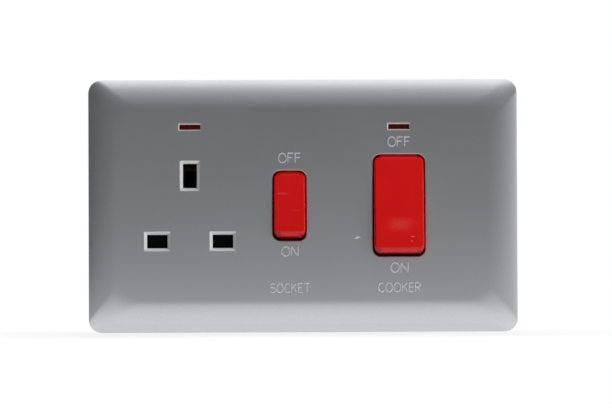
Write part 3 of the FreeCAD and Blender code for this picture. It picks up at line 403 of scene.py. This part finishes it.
# A dark bar with a sharp little highlight, and a bulb that shows mostly by its rim
maroon = clear_finish("maroon_tinted_polycarbonate", "3A0408", "560810", 2.5, 0.1, 0.22, IOR=1.58,
                      Transmission_Weight=0.35)
glass = clear_finish("thin_lamp_glass", "E6DCD2", "C9B7A6", 3, 0.03, 0.12, IOR=1.5, Transmission_Weight=0.9)
print("finishes:", maroon.name, glass.name)

# %% [markdown]
# ## Series resistors
# A neon lamp needs a resistor in series: a ceramic rod dipped in tan lacquer, with painted rings for its value.
# The rings are steps of a colour ramp along X, from one end of the rod to the other, so the CAD rod needs no
# extra geometry. Noise in the gloss and the bump gives the drips of a dipped coat.


# %% Resistor lacquer with rings
def ringed_lacquer(name, low_x, high_x):
    """Dipped lacquer: thick, shiny and a little uneven, with rings of paint."""
    finish, tree, shader, place = begin_finish(name, IOR=1.5, Coat_Weight=0.3)
    along = add_node(tree, "ShaderNodeSeparateXYZ", {0: place})
    share = add_node(tree, "ShaderNodeMapRange", {"Value": along.outputs["X"], "From Min": low_x, "From Max": high_x})
    ramp = add_node(tree, "ShaderNodeValToRGB", {0: share.outputs[0]})
    tan = "C9A77A"
    bands = [(0.3, "7A4A20"), (0.36, tan), (0.44, "D8B030"), (0.5, tan), (0.58, "D0701C"), (0.64, tan),
             (0.72, "B8963C"), (0.78, tan)]
    ramp.color_ramp.interpolation = "CONSTANT"
    for position, code in bands:
        ramp.color_ramp.elements.new(position).color = linear(code)
    ramp.color_ramp.elements[0].color = linear(tan)
    ramp.color_ramp.elements[-1].color = linear(tan)
    drips = add_node(tree, "ShaderNodeTexNoise", {"Vector": place, "Scale": per_metre(1.2), "Detail": 3.0})
    gloss = add_node(tree, "ShaderNodeMapRange", {"Value": drips.outputs[0], "To Min": 0.2, "To Max": 0.4})
    bump = add_node(tree, "ShaderNodeBump", {"Height": drips.outputs[0], "Strength": 0.2, "Distance": 0.05 * MM})
    tree.links.new(ramp.outputs[0], shader.inputs["Base Color"])
    tree.links.new(gloss.outputs[0], shader.inputs["Roughness"])
    tree.links.new(bump.outputs[0], shader.inputs["Normal"])
    return finish


resistors = {}
for name in ("socket_neon_resistor", "cooker_neon_resistor"):
    low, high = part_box(name)
    resistors[name] = ringed_lacquer(f"lacquered_ceramic_{name}", low.x, high.x)
print("finishes:", [finish.name for finish in resistors.values()])

# %% [markdown]
# ## Hand each finish to its CAD nodes
# The CAD meshes are right in shape, so they stay, and only their material slots change. A list from finish to
# node names says at a glance which piece is made of what.

# %% Assign the finishes
wearers = {
    silver: ["front_plate"],
    socket_red: ["socket_rocker"],
    cooker_red: ["cooker_rocker"],
    near_black_and_shade: ["mounting_frame", "shutter"],
    white: ["rear_housing"],
    nylon: [name for name in nodes if name.endswith("plunger")],
    brass: [name for name in nodes if name.endswith(("terminal", "bar", "contact"))],
    steel: ["housing_screws", "terminal_screws"],
    wire: [name for name in nodes if name.endswith("spring")],
    maroon: ["socket_neon_lens", "cooker_neon_lens"],
    glass: ["socket_neon_lamp", "cooker_neon_lamp"],
    **{finish: [name] for name, finish in resistors.items()},
}
for finish, names in wearers.items():
    for name in names:
        nodes[name].material_slots[0].material = finish
print("dressed:", sum(len(names) for names in wearers.values()), "of", len(nodes), "nodes")

# %% [markdown]
# ## Soft edges
# No moulding has a truly sharp edge, and it is the thin highlight along a rounded edge that tells the eye how
# hard and shiny a piece is. A Bevel modifier rounds every edge that turns more than 30 degrees. The CAD meshes
# are loose triangles, so Weld joins them first and Decimate merges flat ones, and Weighted Normal keeps the large
# faces flat. All four are modifiers, so the CAD mesh itself keeps its shape.

# %% Round the moulded edges
WELD_MM, FLAT_DEG, SHARP_DEG, EDGE_SEGMENTS = 0.002, 0.5, 30, 3


def soften(name, width_mm):
    """Rounds the sharp edges of a CAD node, all in modifiers."""
    stack = nodes[name].modifiers
    stack.new("join_triangles", "WELD").merge_threshold = WELD_MM * MM
    flat = stack.new("flat_faces", "DECIMATE")
    flat.decimate_type = "DISSOLVE"
    flat.angle_limit = math.radians(FLAT_DEG)
    bevel = stack.new("moulded_edge", "BEVEL")
    bevel.width = width_mm * MM
    bevel.segments = EDGE_SEGMENTS
    bevel.limit_method = "ANGLE"
    bevel.angle_limit = math.radians(SHARP_DEG)
    stack.new("flat_stays_flat", "WEIGHTED_NORMAL").keep_sharp = False


EDGES_MM = {"front_plate": 0.32, "rear_housing": 0.25}
for name, width_mm in EDGES_MM.items():
    soften(name, width_mm)
print("softened:", EDGES_MM)

# %% [markdown]
# ## The curve of a rolled edge
# The front of a moulded rocker rolls over in one curve: tightly along its sides, more broadly at its two ends,
# where a slope catches the light and the wall then leans outwards, so that no wide gap opens while it tilts.
# The CAD has a plain bevel there. This function gives the curve's section for any place on the outline, blended
# from the side's numbers to the end's, which is easier to tune than moving points by hand.

# %% Section of the rolled edge
PLATE_OUT, PIVOT_OUT, CORNER, BEVEL, RINGS = 9.0, 3.5, 2.2, 1.3, 10
SLOPE = math.radians(45)
CURVED, SLOPED, ROLLED = 0.3, 0.5, 0.7
WALL_SPREAD, SIDE_DEPTH, END_DEPTH = 0.65, 0.9, 4.2
SIDE_RADIUS, END_RADIUS, SIDE_STRAIGHT, END_STRAIGHT = 0.5, 1.2, 0.1, 0.9


def between(low, high, share):
    """A number on the way from low to high, and never past them."""
    return low + (high - low) * max(0, min(1, share))


def rolled_edge(step, end, swell):
    """Reach from the corner's centre and drop behind the face in mm; end is 0 on a side, 1 at an end.

    From step 0 the edge curves down to a slope, runs straight, curves on and then becomes the wall at step 1.
    """
    radius, straight = between(SIDE_RADIUS, END_RADIUS, end), between(SIDE_STRAIGHT, END_STRAIGHT, end)
    steepest = math.radians(between(90, 80, end))
    turn = SLOPE * between(0, 1, step / CURVED)
    turn += (steepest - SLOPE) * between(0, 1, (step - SLOPED) / (ROLLED - SLOPED))
    run = straight * between(0, 1, (step - CURVED) / (SLOPED - CURVED))
    short = radius * (math.sin(steepest) - math.sin(turn)) + (straight - run) * math.sin(SLOPE)
    reach = CORNER + swell * end - short
    drop = radius * (1 - math.cos(turn)) + run * math.cos(SLOPE)
    below = (step - ROLLED) / (1 - ROLLED)
    foot = CORNER + WALL_SPREAD * end, between(SIDE_DEPTH, END_DEPTH, end)
    return between(reach, foot[0], below), between(drop, foot[1], below)


for step in (0, CURVED, SLOPED, ROLLED, 1):
    print("edge at", step, "side:", [round(v, 2) for v in rolled_edge(step, 0, 0.3)],
          "end:", [round(v, 2) for v in rolled_edge(step, 1, 0.3)])

# %% [markdown]
# ## Rolled rockers
# A CAD mesh stays as it is, so a merged copy of each rocker takes its place. The copy is turned upright about its
# pivot, the bevel's faces are cut into rings, and each ring moves to its place on the curve. That keeps the
# trunnions and stems behind exactly as they were, which a rocker modelled from a cube would have to repeat.

# %% Roll the rocker edges
CREASE_DEG, TOLERANCE = 35, 0.01


def rolled_rocker(switch, finish, width, height, tilt, swell):
    """A copy of the CAD rocker whose front bevel is rolled, in the place of that node."""
    node = f"{switch}_rocker"
    low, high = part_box(node)
    face = PLATE_OUT - PIVOT_OUT + height / 2 * math.sin(math.radians(tilt))
    upright = (Matrix.Scale(1 / MM, 4) @ Matrix.Rotation(math.radians(tilt), 4, "X")
               @ Matrix.Translation((-(low.x + high.x) / 2, PIVOT_OUT * MM, 0)))
    shape = bmesh.new()
    shape.from_mesh(nodes[node].data)
    shape.transform(upright)
    bmesh.ops.remove_doubles(shape, verts=shape.verts, dist=WELD_MM)
    bmesh.ops.dissolve_limit(shape, angle_limit=math.radians(FLAT_DEG), verts=shape.verts, edges=shape.edges)
    slants = [e for e in shape.edges if sorted(round(face + v.co.y, 2) for v in e.verts) == [0, BEVEL]]
    bmesh.ops.subdivide_edges(shape, edges=slants, cuts=RINGS - 1, use_grid_fill=True)
    for vert in shape.verts:
        step = (face + vert.co.y) / BEVEL
        core_x = max(CORNER - width / 2, min(width / 2 - CORNER, vert.co.x))
        core_z = max(CORNER - height / 2, min(height / 2 - CORNER, vert.co.z))
        away = Vector((vert.co.x - core_x, vert.co.z - core_z))
        if step < 1 + TOLERANCE and away.length > CORNER - BEVEL - TOLERANCE:
            way = away.normalized()
            reach, drop = rolled_edge(step, way.y ** 2, swell)
            vert.co = (core_x + way.x * reach, drop - face, core_z + way.y * reach)
    bmesh.ops.dissolve_degenerate(shape, dist=WELD_MM, edges=shape.edges)
    for edge in shape.edges:
        edge.smooth = edge.calc_face_angle(0) < math.radians(CREASE_DEG)
    for side in shape.faces:
        side.smooth = True
    shape.transform(upright.inverted())
    mesh = bpy.data.meshes.new(f"{node}_rolled")
    shape.to_mesh(mesh)
    shape.free()
    mesh.materials.append(finish)
    piece = bpy.data.objects.new(f"{node}_rolled", mesh)
    scene.collection.objects.link(piece)
    piece.modifiers.new("flat_stays_flat", "WEIGHTED_NORMAL").keep_sharp = True
    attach(piece, f"{switch}_switch")
    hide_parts(node)
    print(piece.name, "slants:", len(slants), "faces:", len(mesh.polygons))


# Width, height, tilt at OFF and how far the ends swell: the gap in the window leaves room for no more
rolled_rocker("socket", socket_red, 10.6, 21.8, 7, 0.3)
rolled_rocker("cooker", cooker_red, 16.9, 32.6, 6, 0.4)

# %% [markdown]
# ## Raised legends
# The words beside the rockers stand a quarter of a millimetre proud of the cover and are painted pale, a painted
# highlight.
# A font would be one more file to read, so each letter is drawn as a few pen strokes on a grid, in a plain hand of
# our own. A stroke ends where the line turns sharply, because a bead swept round such a corner would pinch.


# %% Letters as pen strokes
def bow(mid_x, mid_z, half_x, half_z, start, end, count):
    """Points along part of an ellipse, in degrees."""
    turns = [math.radians(start + (end - start) * i / count) for i in range(count + 1)]
    return [(mid_x + half_x * math.cos(t), mid_z + half_z * math.sin(t)) for t in turns]


STROKES = {
    "O": (0.8, [bow(0.4, 0.5, 0.4, 0.5, 0, 360, 24)]),
    "F": (0.58, [[(0, 0), (0, 1)], [(0, 1), (0.58, 1)], [(0, 0.54), (0.5, 0.54)]]),
    "N": (0.68, [[(0, 0), (0, 1)], [(0, 1), (0.68, 0)], [(0.68, 0), (0.68, 1)]]),
    "S": (0.6, [bow(0.3, 0.75, 0.29, 0.25, 30, 270, 12) + bow(0.3, 0.25, 0.3, 0.25, 90, -150, 12)[1:]]),
    "C": (0.68, [bow(0.4, 0.5, 0.4, 0.5, 45, 315, 18)]),
    "K": (0.64, [[(0, 0), (0, 1)], [(0.6, 1), (0, 0.42)], [(0.2, 0.61), (0.64, 0)]]),
    "E": (0.58, [[(0, 0), (0, 1)], [(0, 1), (0.58, 1)], [(0, 0.52), (0.5, 0.52)], [(0, 0), (0.58, 0)]]),
    "T": (0.66, [[(0, 1), (0.66, 1)], [(0.33, 1), (0.33, 0)]]),
    "R": (0.62, [[(0, 0), (0, 1)],
                 [(0, 1), (0.34, 1)] + bow(0.34, 0.76, 0.26, 0.24, 90, -90, 10)[1:] + [(0, 0.52)],
                 [(0.3, 0.52), (0.62, 0)]]),
}
# Word, middle in X and Z, width and height, all in millimetres
LEGENDS = [
    ("OFF", SOCKET_SWITCH_X, 16.2, 7.5, 3.2),
    ("ON", SOCKET_SWITCH_X, -15.4, 5.5, 3.2),
    ("SOCKET", SOCKET_SWITCH_X, -27.8, 13.2, 3.0),
    ("OFF", COOKER_SWITCH_X, 21.6, 7.5, 3.2),
    ("ON", COOKER_SWITCH_X, -21.0, 5.8, 3.2),
    ("COOKER", COOKER_SWITCH_X, -27.7, 14.2, 3.0),
]
LETTER_GAP = 0.55


def pen_lines(word, mid_x, mid_z, width, height):
    """The word's strokes in millimetres, spread over the given width."""
    bare_width = sum(STROKES[letter][0] for letter in word) * height
    stretch = (width - LETTER_GAP * (len(word) - 1)) / bare_width
    pen, lines = mid_x - width / 2, []
    for letter in word:
        advance, strokes = STROKES[letter]
        lines += [[(pen + u * height * stretch, mid_z + (v - 0.5) * height) for u, v in stroke] for stroke in strokes]
        pen += advance * height * stretch + LETTER_GAP
    return lines


lines = [line for legend in LEGENDS for line in pen_lines(*legend)]
print("legends:", [legend[0] for legend in LEGENDS], "strokes:", len(lines))

# %% [markdown]
# ## Geometry Nodes as a workshop
# A letter's bead and a spring's wire are the same job: a round section swept along a path. Geometry Nodes does it
# from named sizes, so one number changes the whole piece. The first helper starts such a tree, the second ends it
# with the sweep, and the third sets its inputs by their identifiers, runs it and keeps a plain mesh.


# %% Helpers for Geometry Nodes
def new_tree(name, sizes):
    """A Geometry Nodes group with a mesh in, a mesh out and one named number for each size."""
    group = bpy.data.node_groups.new(name, "GeometryNodeTree")
    group.interface.new_socket("Geometry", in_out="INPUT", socket_type="NodeSocketGeometry")
    for label in sizes:
        group.interface.new_socket(label, in_out="INPUT", socket_type="NodeSocketFloat")
    group.interface.new_socket("Geometry", in_out="OUTPUT", socket_type="NodeSocketGeometry")
    return group, add_node(group, "NodeGroupInput")


def sweep_round(group, path, radius, finish):
    """Ends the group with a round bar along the path, smooth and in its finish."""
    section = add_node(group, "GeometryNodeCurvePrimitiveCircle", {"Resolution": 10, "Radius": radius})
    bar = add_node(group, "GeometryNodeCurveToMesh", {
        "Curve": path, "Profile Curve": section.outputs[0], "Fill Caps": True,
    })
    round_off = add_node(group, "GeometryNodeSetShadeSmooth", {"Geometry": bar.outputs[0]})
    real = add_node(group, "GeometryNodeRealizeInstances", {0: round_off.outputs[0]})
    painted = add_node(group, "GeometryNodeSetMaterial", {"Geometry": real.outputs[0], "Material": finish})
    add_node(group, "NodeGroupOutput", {0: painted.outputs[0]})


def run_tree(piece, group, **sizes):
    """Runs the group on a piece with those sizes and keeps the result as a plain mesh."""
    modifier = piece.modifiers.new(group.name, "NODES")
    modifier.node_group = group
    for item in group.interface.items_tree:
        if item.in_out == "INPUT" and item.name in sizes:
            modifier[item.identifier] = sizes[item.name]
    bpy.context.view_layer.update()
    evaluated = piece.evaluated_get(bpy.context.evaluated_depsgraph_get())
    made = bpy.data.meshes.new_from_object(evaluated)
    piece.modifiers.clear()
    piece.data = made
    return made


print("helpers:", [helper.__name__ for helper in (new_tree, sweep_round, run_tree)])

# %% [markdown]
# ## Sweep the bead of the letters
# On the real cover the words are moulded with it and wear the same lacquer. Here their finish is painted paler as
# a painted highlight, half metal, half pale plastic, in two close tones. The strokes become loose edges, Mesh to
# Curve turns them into paths, and the bead sinks a little into the face so that no letter floats.

# %% Raised words
BEAD_RADIUS, BEAD_SUNK = 0.29, 0.06
# Paler and duller than the cover: a painted highlight, so that a word shows without a print
pale_highlight_lacquer, tree, shader, place = begin_finish("silver_lacquer_painted_pale_as_highlight", Metallic=0.7, Roughness=0.5)
thin = add_node(tree, "ShaderNodeTexNoise", {"Vector": place, "Scale": per_metre(1.5), "Detail": 3.0})
pale = add_node(tree, "ShaderNodeMix", {
    0: thin.outputs[0], 6: linear("D2D4D7"), 7: linear("E6E8EA"),
}, data_type="RGBA")
tree.links.new(pale.outputs[2], shader.inputs["Base Color"])

face_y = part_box("front_plate")[0].y
points, edges = [], []
for line in lines:
    first = len(points)
    points += [(x * MM, face_y + BEAD_SUNK * MM, z * MM) for x, z in line]
    edges += [(i, i + 1) for i in range(first, len(points) - 1)]
pen_mesh = bpy.data.meshes.new("pen_strokes")
pen_mesh.from_pydata(points, edges, [])
legends = bpy.data.objects.new("raised_legends", pen_mesh)
scene.collection.objects.link(legends)
group, inputs = new_tree("bead_along_strokes", ["Radius"])
path = add_node(group, "GeometryNodeMeshToCurve", {0: inputs.outputs["Geometry"]})
sweep_round(group, path.outputs[0], inputs.outputs["Radius"], pale_highlight_lacquer)
mesh = run_tree(legends, group, Radius=BEAD_RADIUS * MM)
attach(legends, "unit")
print("legend mesh:", len(mesh.polygons), "faces, proud by", BEAD_RADIUS - BEAD_SUNK, "mm")

# %% [markdown]
# ## The shutter's spring
# A child's finger cannot reach the live parts because a shutter closes the lower pin holes. The long earth pin
# pushes it down, and this spring of hard-drawn wire lifts it again. The CAD coil has a four-sided wire and can't
# shorten, and this piece takes its place. A spiral curve with a round section makes the wire.

# %% Wind the spring
COIL_RADIUS, WIRE_RADIUS, TURNS, SHUTTER_TRAVEL = 1.1, 0.28, 5, 6.1
low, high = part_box("shutter_spring")
length = (high.z - low.z) / MM
spring = bpy.data.objects.new("shutter_spring_wound", bpy.data.meshes.new("shutter_spring_wound"))
scene.collection.objects.link(spring)
group, inputs = new_tree("wound_spring", ["Coil", "Wire", "Height"])
spiral = add_node(group, "GeometryNodeCurveSpiral", {
    "Resolution": 20, "Rotations": TURNS, "Start Radius": inputs.outputs["Coil"],
    "End Radius": inputs.outputs["Coil"], "Height": inputs.outputs["Height"],
})
sweep_round(group, spiral.outputs[0], inputs.outputs["Wire"], wire)
mesh = run_tree(spring, group, Coil=COIL_RADIUS * MM, Wire=WIRE_RADIUS * MM,
                Height=(length - 2 * WIRE_RADIUS) * MM)
mesh.transform(Matrix.Translation(((low.x + high.x) / 2, (low.y + high.y) / 2, low.z + WIRE_RADIUS * MM)))
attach(spring, "unit")
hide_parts("shutter_spring")
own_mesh(spring)

# %% [markdown]
# ## Paper that is white to the camera
# A photographer lights the paper until it is pure white. Here it glows for the camera instead, so that no extra
# light falls on the object, and for reflections, so that metal shows it too. In reflections the glow fades towards
# the front, where a real studio is dark, and that is what keeps the flat silver face grey. Close to the object
# part of the plain paper stays, and with it the shadow. All other light meets plain white paper.

# %% Paper finish
GLOW_FRONT, GLOW_BACK, DARK_FRONT = -0.26, 0.0, 0.08
SHADOW_REACH, SHADOW_SHARE = 0.05, 0.18
# Matt pulp, a little cloudy: no highlight anywhere
paper_finish, tree, shader, place = begin_finish("white_paper_sweep", Roughness=0.9)
fibre = add_node(tree, "ShaderNodeTexNoise", {"Vector": place, "Scale": per_metre(6), "Detail": 4.0})
paper = add_node(tree, "ShaderNodeMix", {
    0: fibre.outputs[0], 6: linear("E4E4E4"), 7: linear("ECECEC"),
}, data_type="RGBA")
tree.links.new(paper.outputs[2], shader.inputs["Base Color"])
rays = add_node(tree, "ShaderNodeLightPath")
mirrored = add_node(tree, "ShaderNodeMath", {
    0: rays.outputs["Is Glossy Ray"], 1: rays.outputs["Is Transmission Ray"],
}, operation="MAXIMUM")
along = add_node(tree, "ShaderNodeSeparateXYZ", {0: place})
from_front = add_node(tree, "ShaderNodeMapRange", {
    "Value": along.outputs["Y"],
    "From Min": GLOW_FRONT, "From Max": GLOW_BACK, "To Min": DARK_FRONT, "To Max": 1.0,
})
beside = add_node(tree, "ShaderNodeVectorMath", {0: place}, operation="ABSOLUTE")
beyond = add_node(tree, "ShaderNodeVectorMath", {0: beside.outputs[0], 1: cad_box[1]}, operation="SUBTRACT")
outside = add_node(tree, "ShaderNodeVectorMath", {0: beyond.outputs[0], 1: (0, 0, 0)}, operation="MAXIMUM")
distance = add_node(tree, "ShaderNodeVectorMath", {0: outside.outputs[0]}, operation="LENGTH")
from_foot = add_node(tree, "ShaderNodeMapRange", {
    "Value": distance.outputs["Value"],
    "From Min": 0.0, "From Max": SHADOW_REACH, "To Min": 1 - SHADOW_SHARE, "To Max": 1.0,
})
in_view = add_node(tree, "ShaderNodeMath", {
    0: rays.outputs["Is Camera Ray"], 1: from_foot.outputs[0],
}, operation="MULTIPLY")
share = add_node(tree, "ShaderNodeMath", {0: in_view.outputs[0], 1: mirrored.outputs[0]}, operation="MAXIMUM")
level = add_node(tree, "ShaderNodeMath", {
    0: rays.outputs["Is Camera Ray"], 1: from_front.outputs[0],
}, operation="MAXIMUM")
glow = add_node(tree, "ShaderNodeEmission", {"Color": (1, 1, 1, 1), "Strength": level.outputs[0]})
mixed = add_node(tree, "ShaderNodeMixShader", {0: share.outputs[0], 1: shader.outputs[0], 2: glow.outputs[0]})
tree.links.new(mixed.outputs[0], next(n for n in tree.nodes if n.type == "OUTPUT_MATERIAL").inputs["Surface"])
print("finish:", paper_finish.name, len(tree.nodes), "nodes")

# %% [markdown]
# ## Floor and backdrop in one sheet
# A paper sweep runs from the floor up behind the object in one curve, so no line shows where they meet.
# It is much larger than the object, so that a camera that walks round the unit stays inside it. A profile of a
# few points, drawn out to both sides, is all it needs.

# %% Paper sweep
BEND, BEND_STEPS, WALL_Y, HALF_WIDTH, NEAR_Y, TOP_Z = 0.73, 12, 2.2, 3.7, -3.0, 3.7
floor_z = cad_box[0].z - 0.5 * MM
profile = [(NEAR_Y, floor_z)]
for i in range(BEND_STEPS + 1):
    turn = math.radians(90 * i / BEND_STEPS)
    profile.append((WALL_Y - BEND + BEND * math.sin(turn), floor_z + BEND - BEND * math.cos(turn)))
profile.append((WALL_Y, TOP_Z))
sweep_mesh = bpy.data.meshes.new("paper_sweep")
corners = [(side * HALF_WIDTH, y, z) for y, z in profile for side in (-1, 1)]
sweep_mesh.from_pydata(corners, [], [(2 * i, 2 * i + 1, 2 * i + 3, 2 * i + 2) for i in range(len(profile) - 1)])
sweep_mesh.materials.append(paper_finish)
for face in sweep_mesh.polygons:
    face.use_smooth = True
sweep = bpy.data.objects.new("paper_sweep", sweep_mesh)
scene.collection.objects.link(sweep)
sweep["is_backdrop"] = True
print("floor at", round(floor_z / MM, 1), "mm, wall at", WALL_Y, "m")

# %% [markdown]
# ## A grey flag at the left
# The left border of the cover is the darkest in the picture, so something dark stood there. Photographers call
# such a card a flag. It is hidden from the camera and only shows in the metal and in the light that it holds back.

# %% Grey flag
FLAG_X, FLAG_NEAR, FLAG_FAR, FLAG_TOP = -0.16, -0.35, 0.12, 0.35
# Felted card: a dark grey that swallows light and hardly shines
flag_finish, tree, shader, place = begin_finish("grey_flag_card", Roughness=0.9, Specular_IOR_Level=0.1)
nap = add_node(tree, "ShaderNodeTexNoise", {"Vector": place, "Scale": per_metre(5), "Detail": 3.0})
felt = add_node(tree, "ShaderNodeMix", {
    0: nap.outputs[0], 6: linear("5A5A5A"), 7: linear("646464"),
}, data_type="RGBA")
tree.links.new(felt.outputs[2], shader.inputs["Base Color"])
flag_mesh = bpy.data.meshes.new("grey_flag")
flag_mesh.from_pydata([(FLAG_X, FLAG_NEAR, floor_z), (FLAG_X, FLAG_FAR, floor_z), (FLAG_X, FLAG_FAR, FLAG_TOP),
                       (FLAG_X, FLAG_NEAR, FLAG_TOP)], [], [(0, 1, 2, 3)])
flag_mesh.materials.append(flag_finish)
flag = bpy.data.objects.new("grey_flag", flag_mesh)
scene.collection.objects.link(flag)
flag.visible_camera = False
flag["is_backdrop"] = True
print("flag at", FLAG_X / MM, "mm")

# %% [markdown]
# ## Soft boxes
# The border tells where the light was: bright above and below, dark on the left, grey on the right. One wide soft
# box hangs above and behind. A low fill at the right lights the red plastic from the side: from the front it would
# mirror in the rockers and wash them out, and from higher up it would miss the slopes at their lower ends. Another
# behind keeps the white tray white. Both fills are left out of reflections. Their level is plain, so a colour comes
# out about as it is written.

# %% Lamps
scene.view_settings.view_transform = "Standard"


def soft_box(name, place, aim, width, depth, watts, mirrored):
    """A flat lamp, aimed at a point, that the camera never sees."""
    lamp = bpy.data.lights.new(name, "AREA")
    lamp.shape = "RECTANGLE"
    lamp.size, lamp.size_y, lamp.energy = width, depth, watts
    holder = bpy.data.objects.new(name, lamp)
    holder.location = place
    holder.rotation_euler = (Vector(aim) - Vector(place)).to_track_quat("-Z", "Y").to_euler()
    holder.visible_camera = False
    holder.visible_glossy = mirrored
    scene.collection.objects.link(holder)


soft_box("rear_soft_box", place=(0.1, 0.35, 0.95), aim=(0, -0.1, 0), width=1.6, depth=0.8, watts=3.4, mirrored=True)
soft_box("right_fill", place=(1.25, -0.9, 0.1), aim=(0, 0, 0), width=1.0, depth=0.8, watts=30, mirrored=False)
soft_box("back_fill", place=(0.2, 1.6, 0.8), aim=(0, 0, 0), width=1.0, depth=0.8, watts=15, mirrored=False)

# %% [markdown]
# ## The rest of the room
# The world stands in for the studio: nearly dark in front, a little lighter to the right and much lighter overhead,
# in two smooth ramps. A lit photograph of a room would need an image file. To the camera it is plain white,
# so that no edge of the paper shows from any side.

# %% Studio room
world = bpy.data.worlds.new("studio_room")
scene.world = world
world.use_nodes = True
room = world.node_tree
room.nodes.clear()
way = add_node(room, "ShaderNodeTexCoord").outputs["Generated"]
parts = add_node(room, "ShaderNodeSeparateXYZ", {0: way})
aside = add_node(room, "ShaderNodeMapRange", {
    "Value": parts.outputs["X"], "From Min": -0.2, "From Max": 0.95, "To Min": 0.05, "To Max": 0.08,
})
above = add_node(room, "ShaderNodeMapRange", {
    "Value": parts.outputs["Z"], "From Min": 0.12, "From Max": 1.0, "To Min": 0.0, "To Max": 0.52,
})
level = add_node(room, "ShaderNodeMath", {0: aside.outputs[0], 1: above.outputs[0]}, operation="ADD")
seen = add_node(room, "ShaderNodeLightPath").outputs["Is Camera Ray"]
strength = add_node(room, "ShaderNodeMath", {0: level.outputs[0], 1: seen}, operation="MAXIMUM")
light = add_node(room, "ShaderNodeBackground", {"Color": (1, 1, 1, 1), "Strength": strength.outputs[0]})
add_node(room, "ShaderNodeOutputWorld", {0: light.outputs[0]})
print("room:", len(room.nodes), "nodes")

# %% [markdown]
# ## Camera
# The cover's edges are almost parallel in the picture, so the camera stood far off, at about 1.2 m, a degree below
# the middle and a degree to the left. Distance, angles and scale come from where the cover, the rockers and the pin
# holes lie in the picture; the lens length then follows from the scale.

# %% Photo camera
IMAGE_WIDTH, SENSOR_MM = 612, 36
DISTANCE, AZIMUTH, ELEVATION, ROLL = 1.2, -0.97, -0.95, -0.23
PIXELS_PER_MM = 2.9305
target = Vector((1.037, 0, 0.693)) * MM
az, el = math.radians(AZIMUTH), math.radians(ELEVATION)
look = Vector((-math.sin(az) * math.cos(el), math.cos(az) * math.cos(el), -math.sin(el)))
lens = bpy.data.cameras.new("photo_camera")
lens.sensor_width = SENSOR_MM
lens.lens = PIXELS_PER_MM * DISTANCE / MM * SENSOR_MM / IMAGE_WIDTH
lens.clip_start = 0.01
camera = bpy.data.objects.new("photo_camera", lens)
camera.location = target - DISTANCE * look
camera.rotation_euler = look.to_track_quat("-Z", "Y").to_euler()
camera.rotation_euler.rotate_axis("Z", math.radians(ROLL))
scene.collection.objects.link(camera)
scene.camera = camera
print("lens:", round(lens.lens, 1), "mm, camera at", [round(v, 3) for v in camera.location])

# %% [markdown]
# ## Keep the measure
# A dressed part must not outgrow its CAD solid. The growth of the dressed box over the CAD box is printed.

# %% Print the growth
visual_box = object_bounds()
growth = (visual_box[1] - visual_box[0]) - (cad_box[1] - cad_box[0])
print("growth in mm:", [round(v / MM, 2) for v in growth])
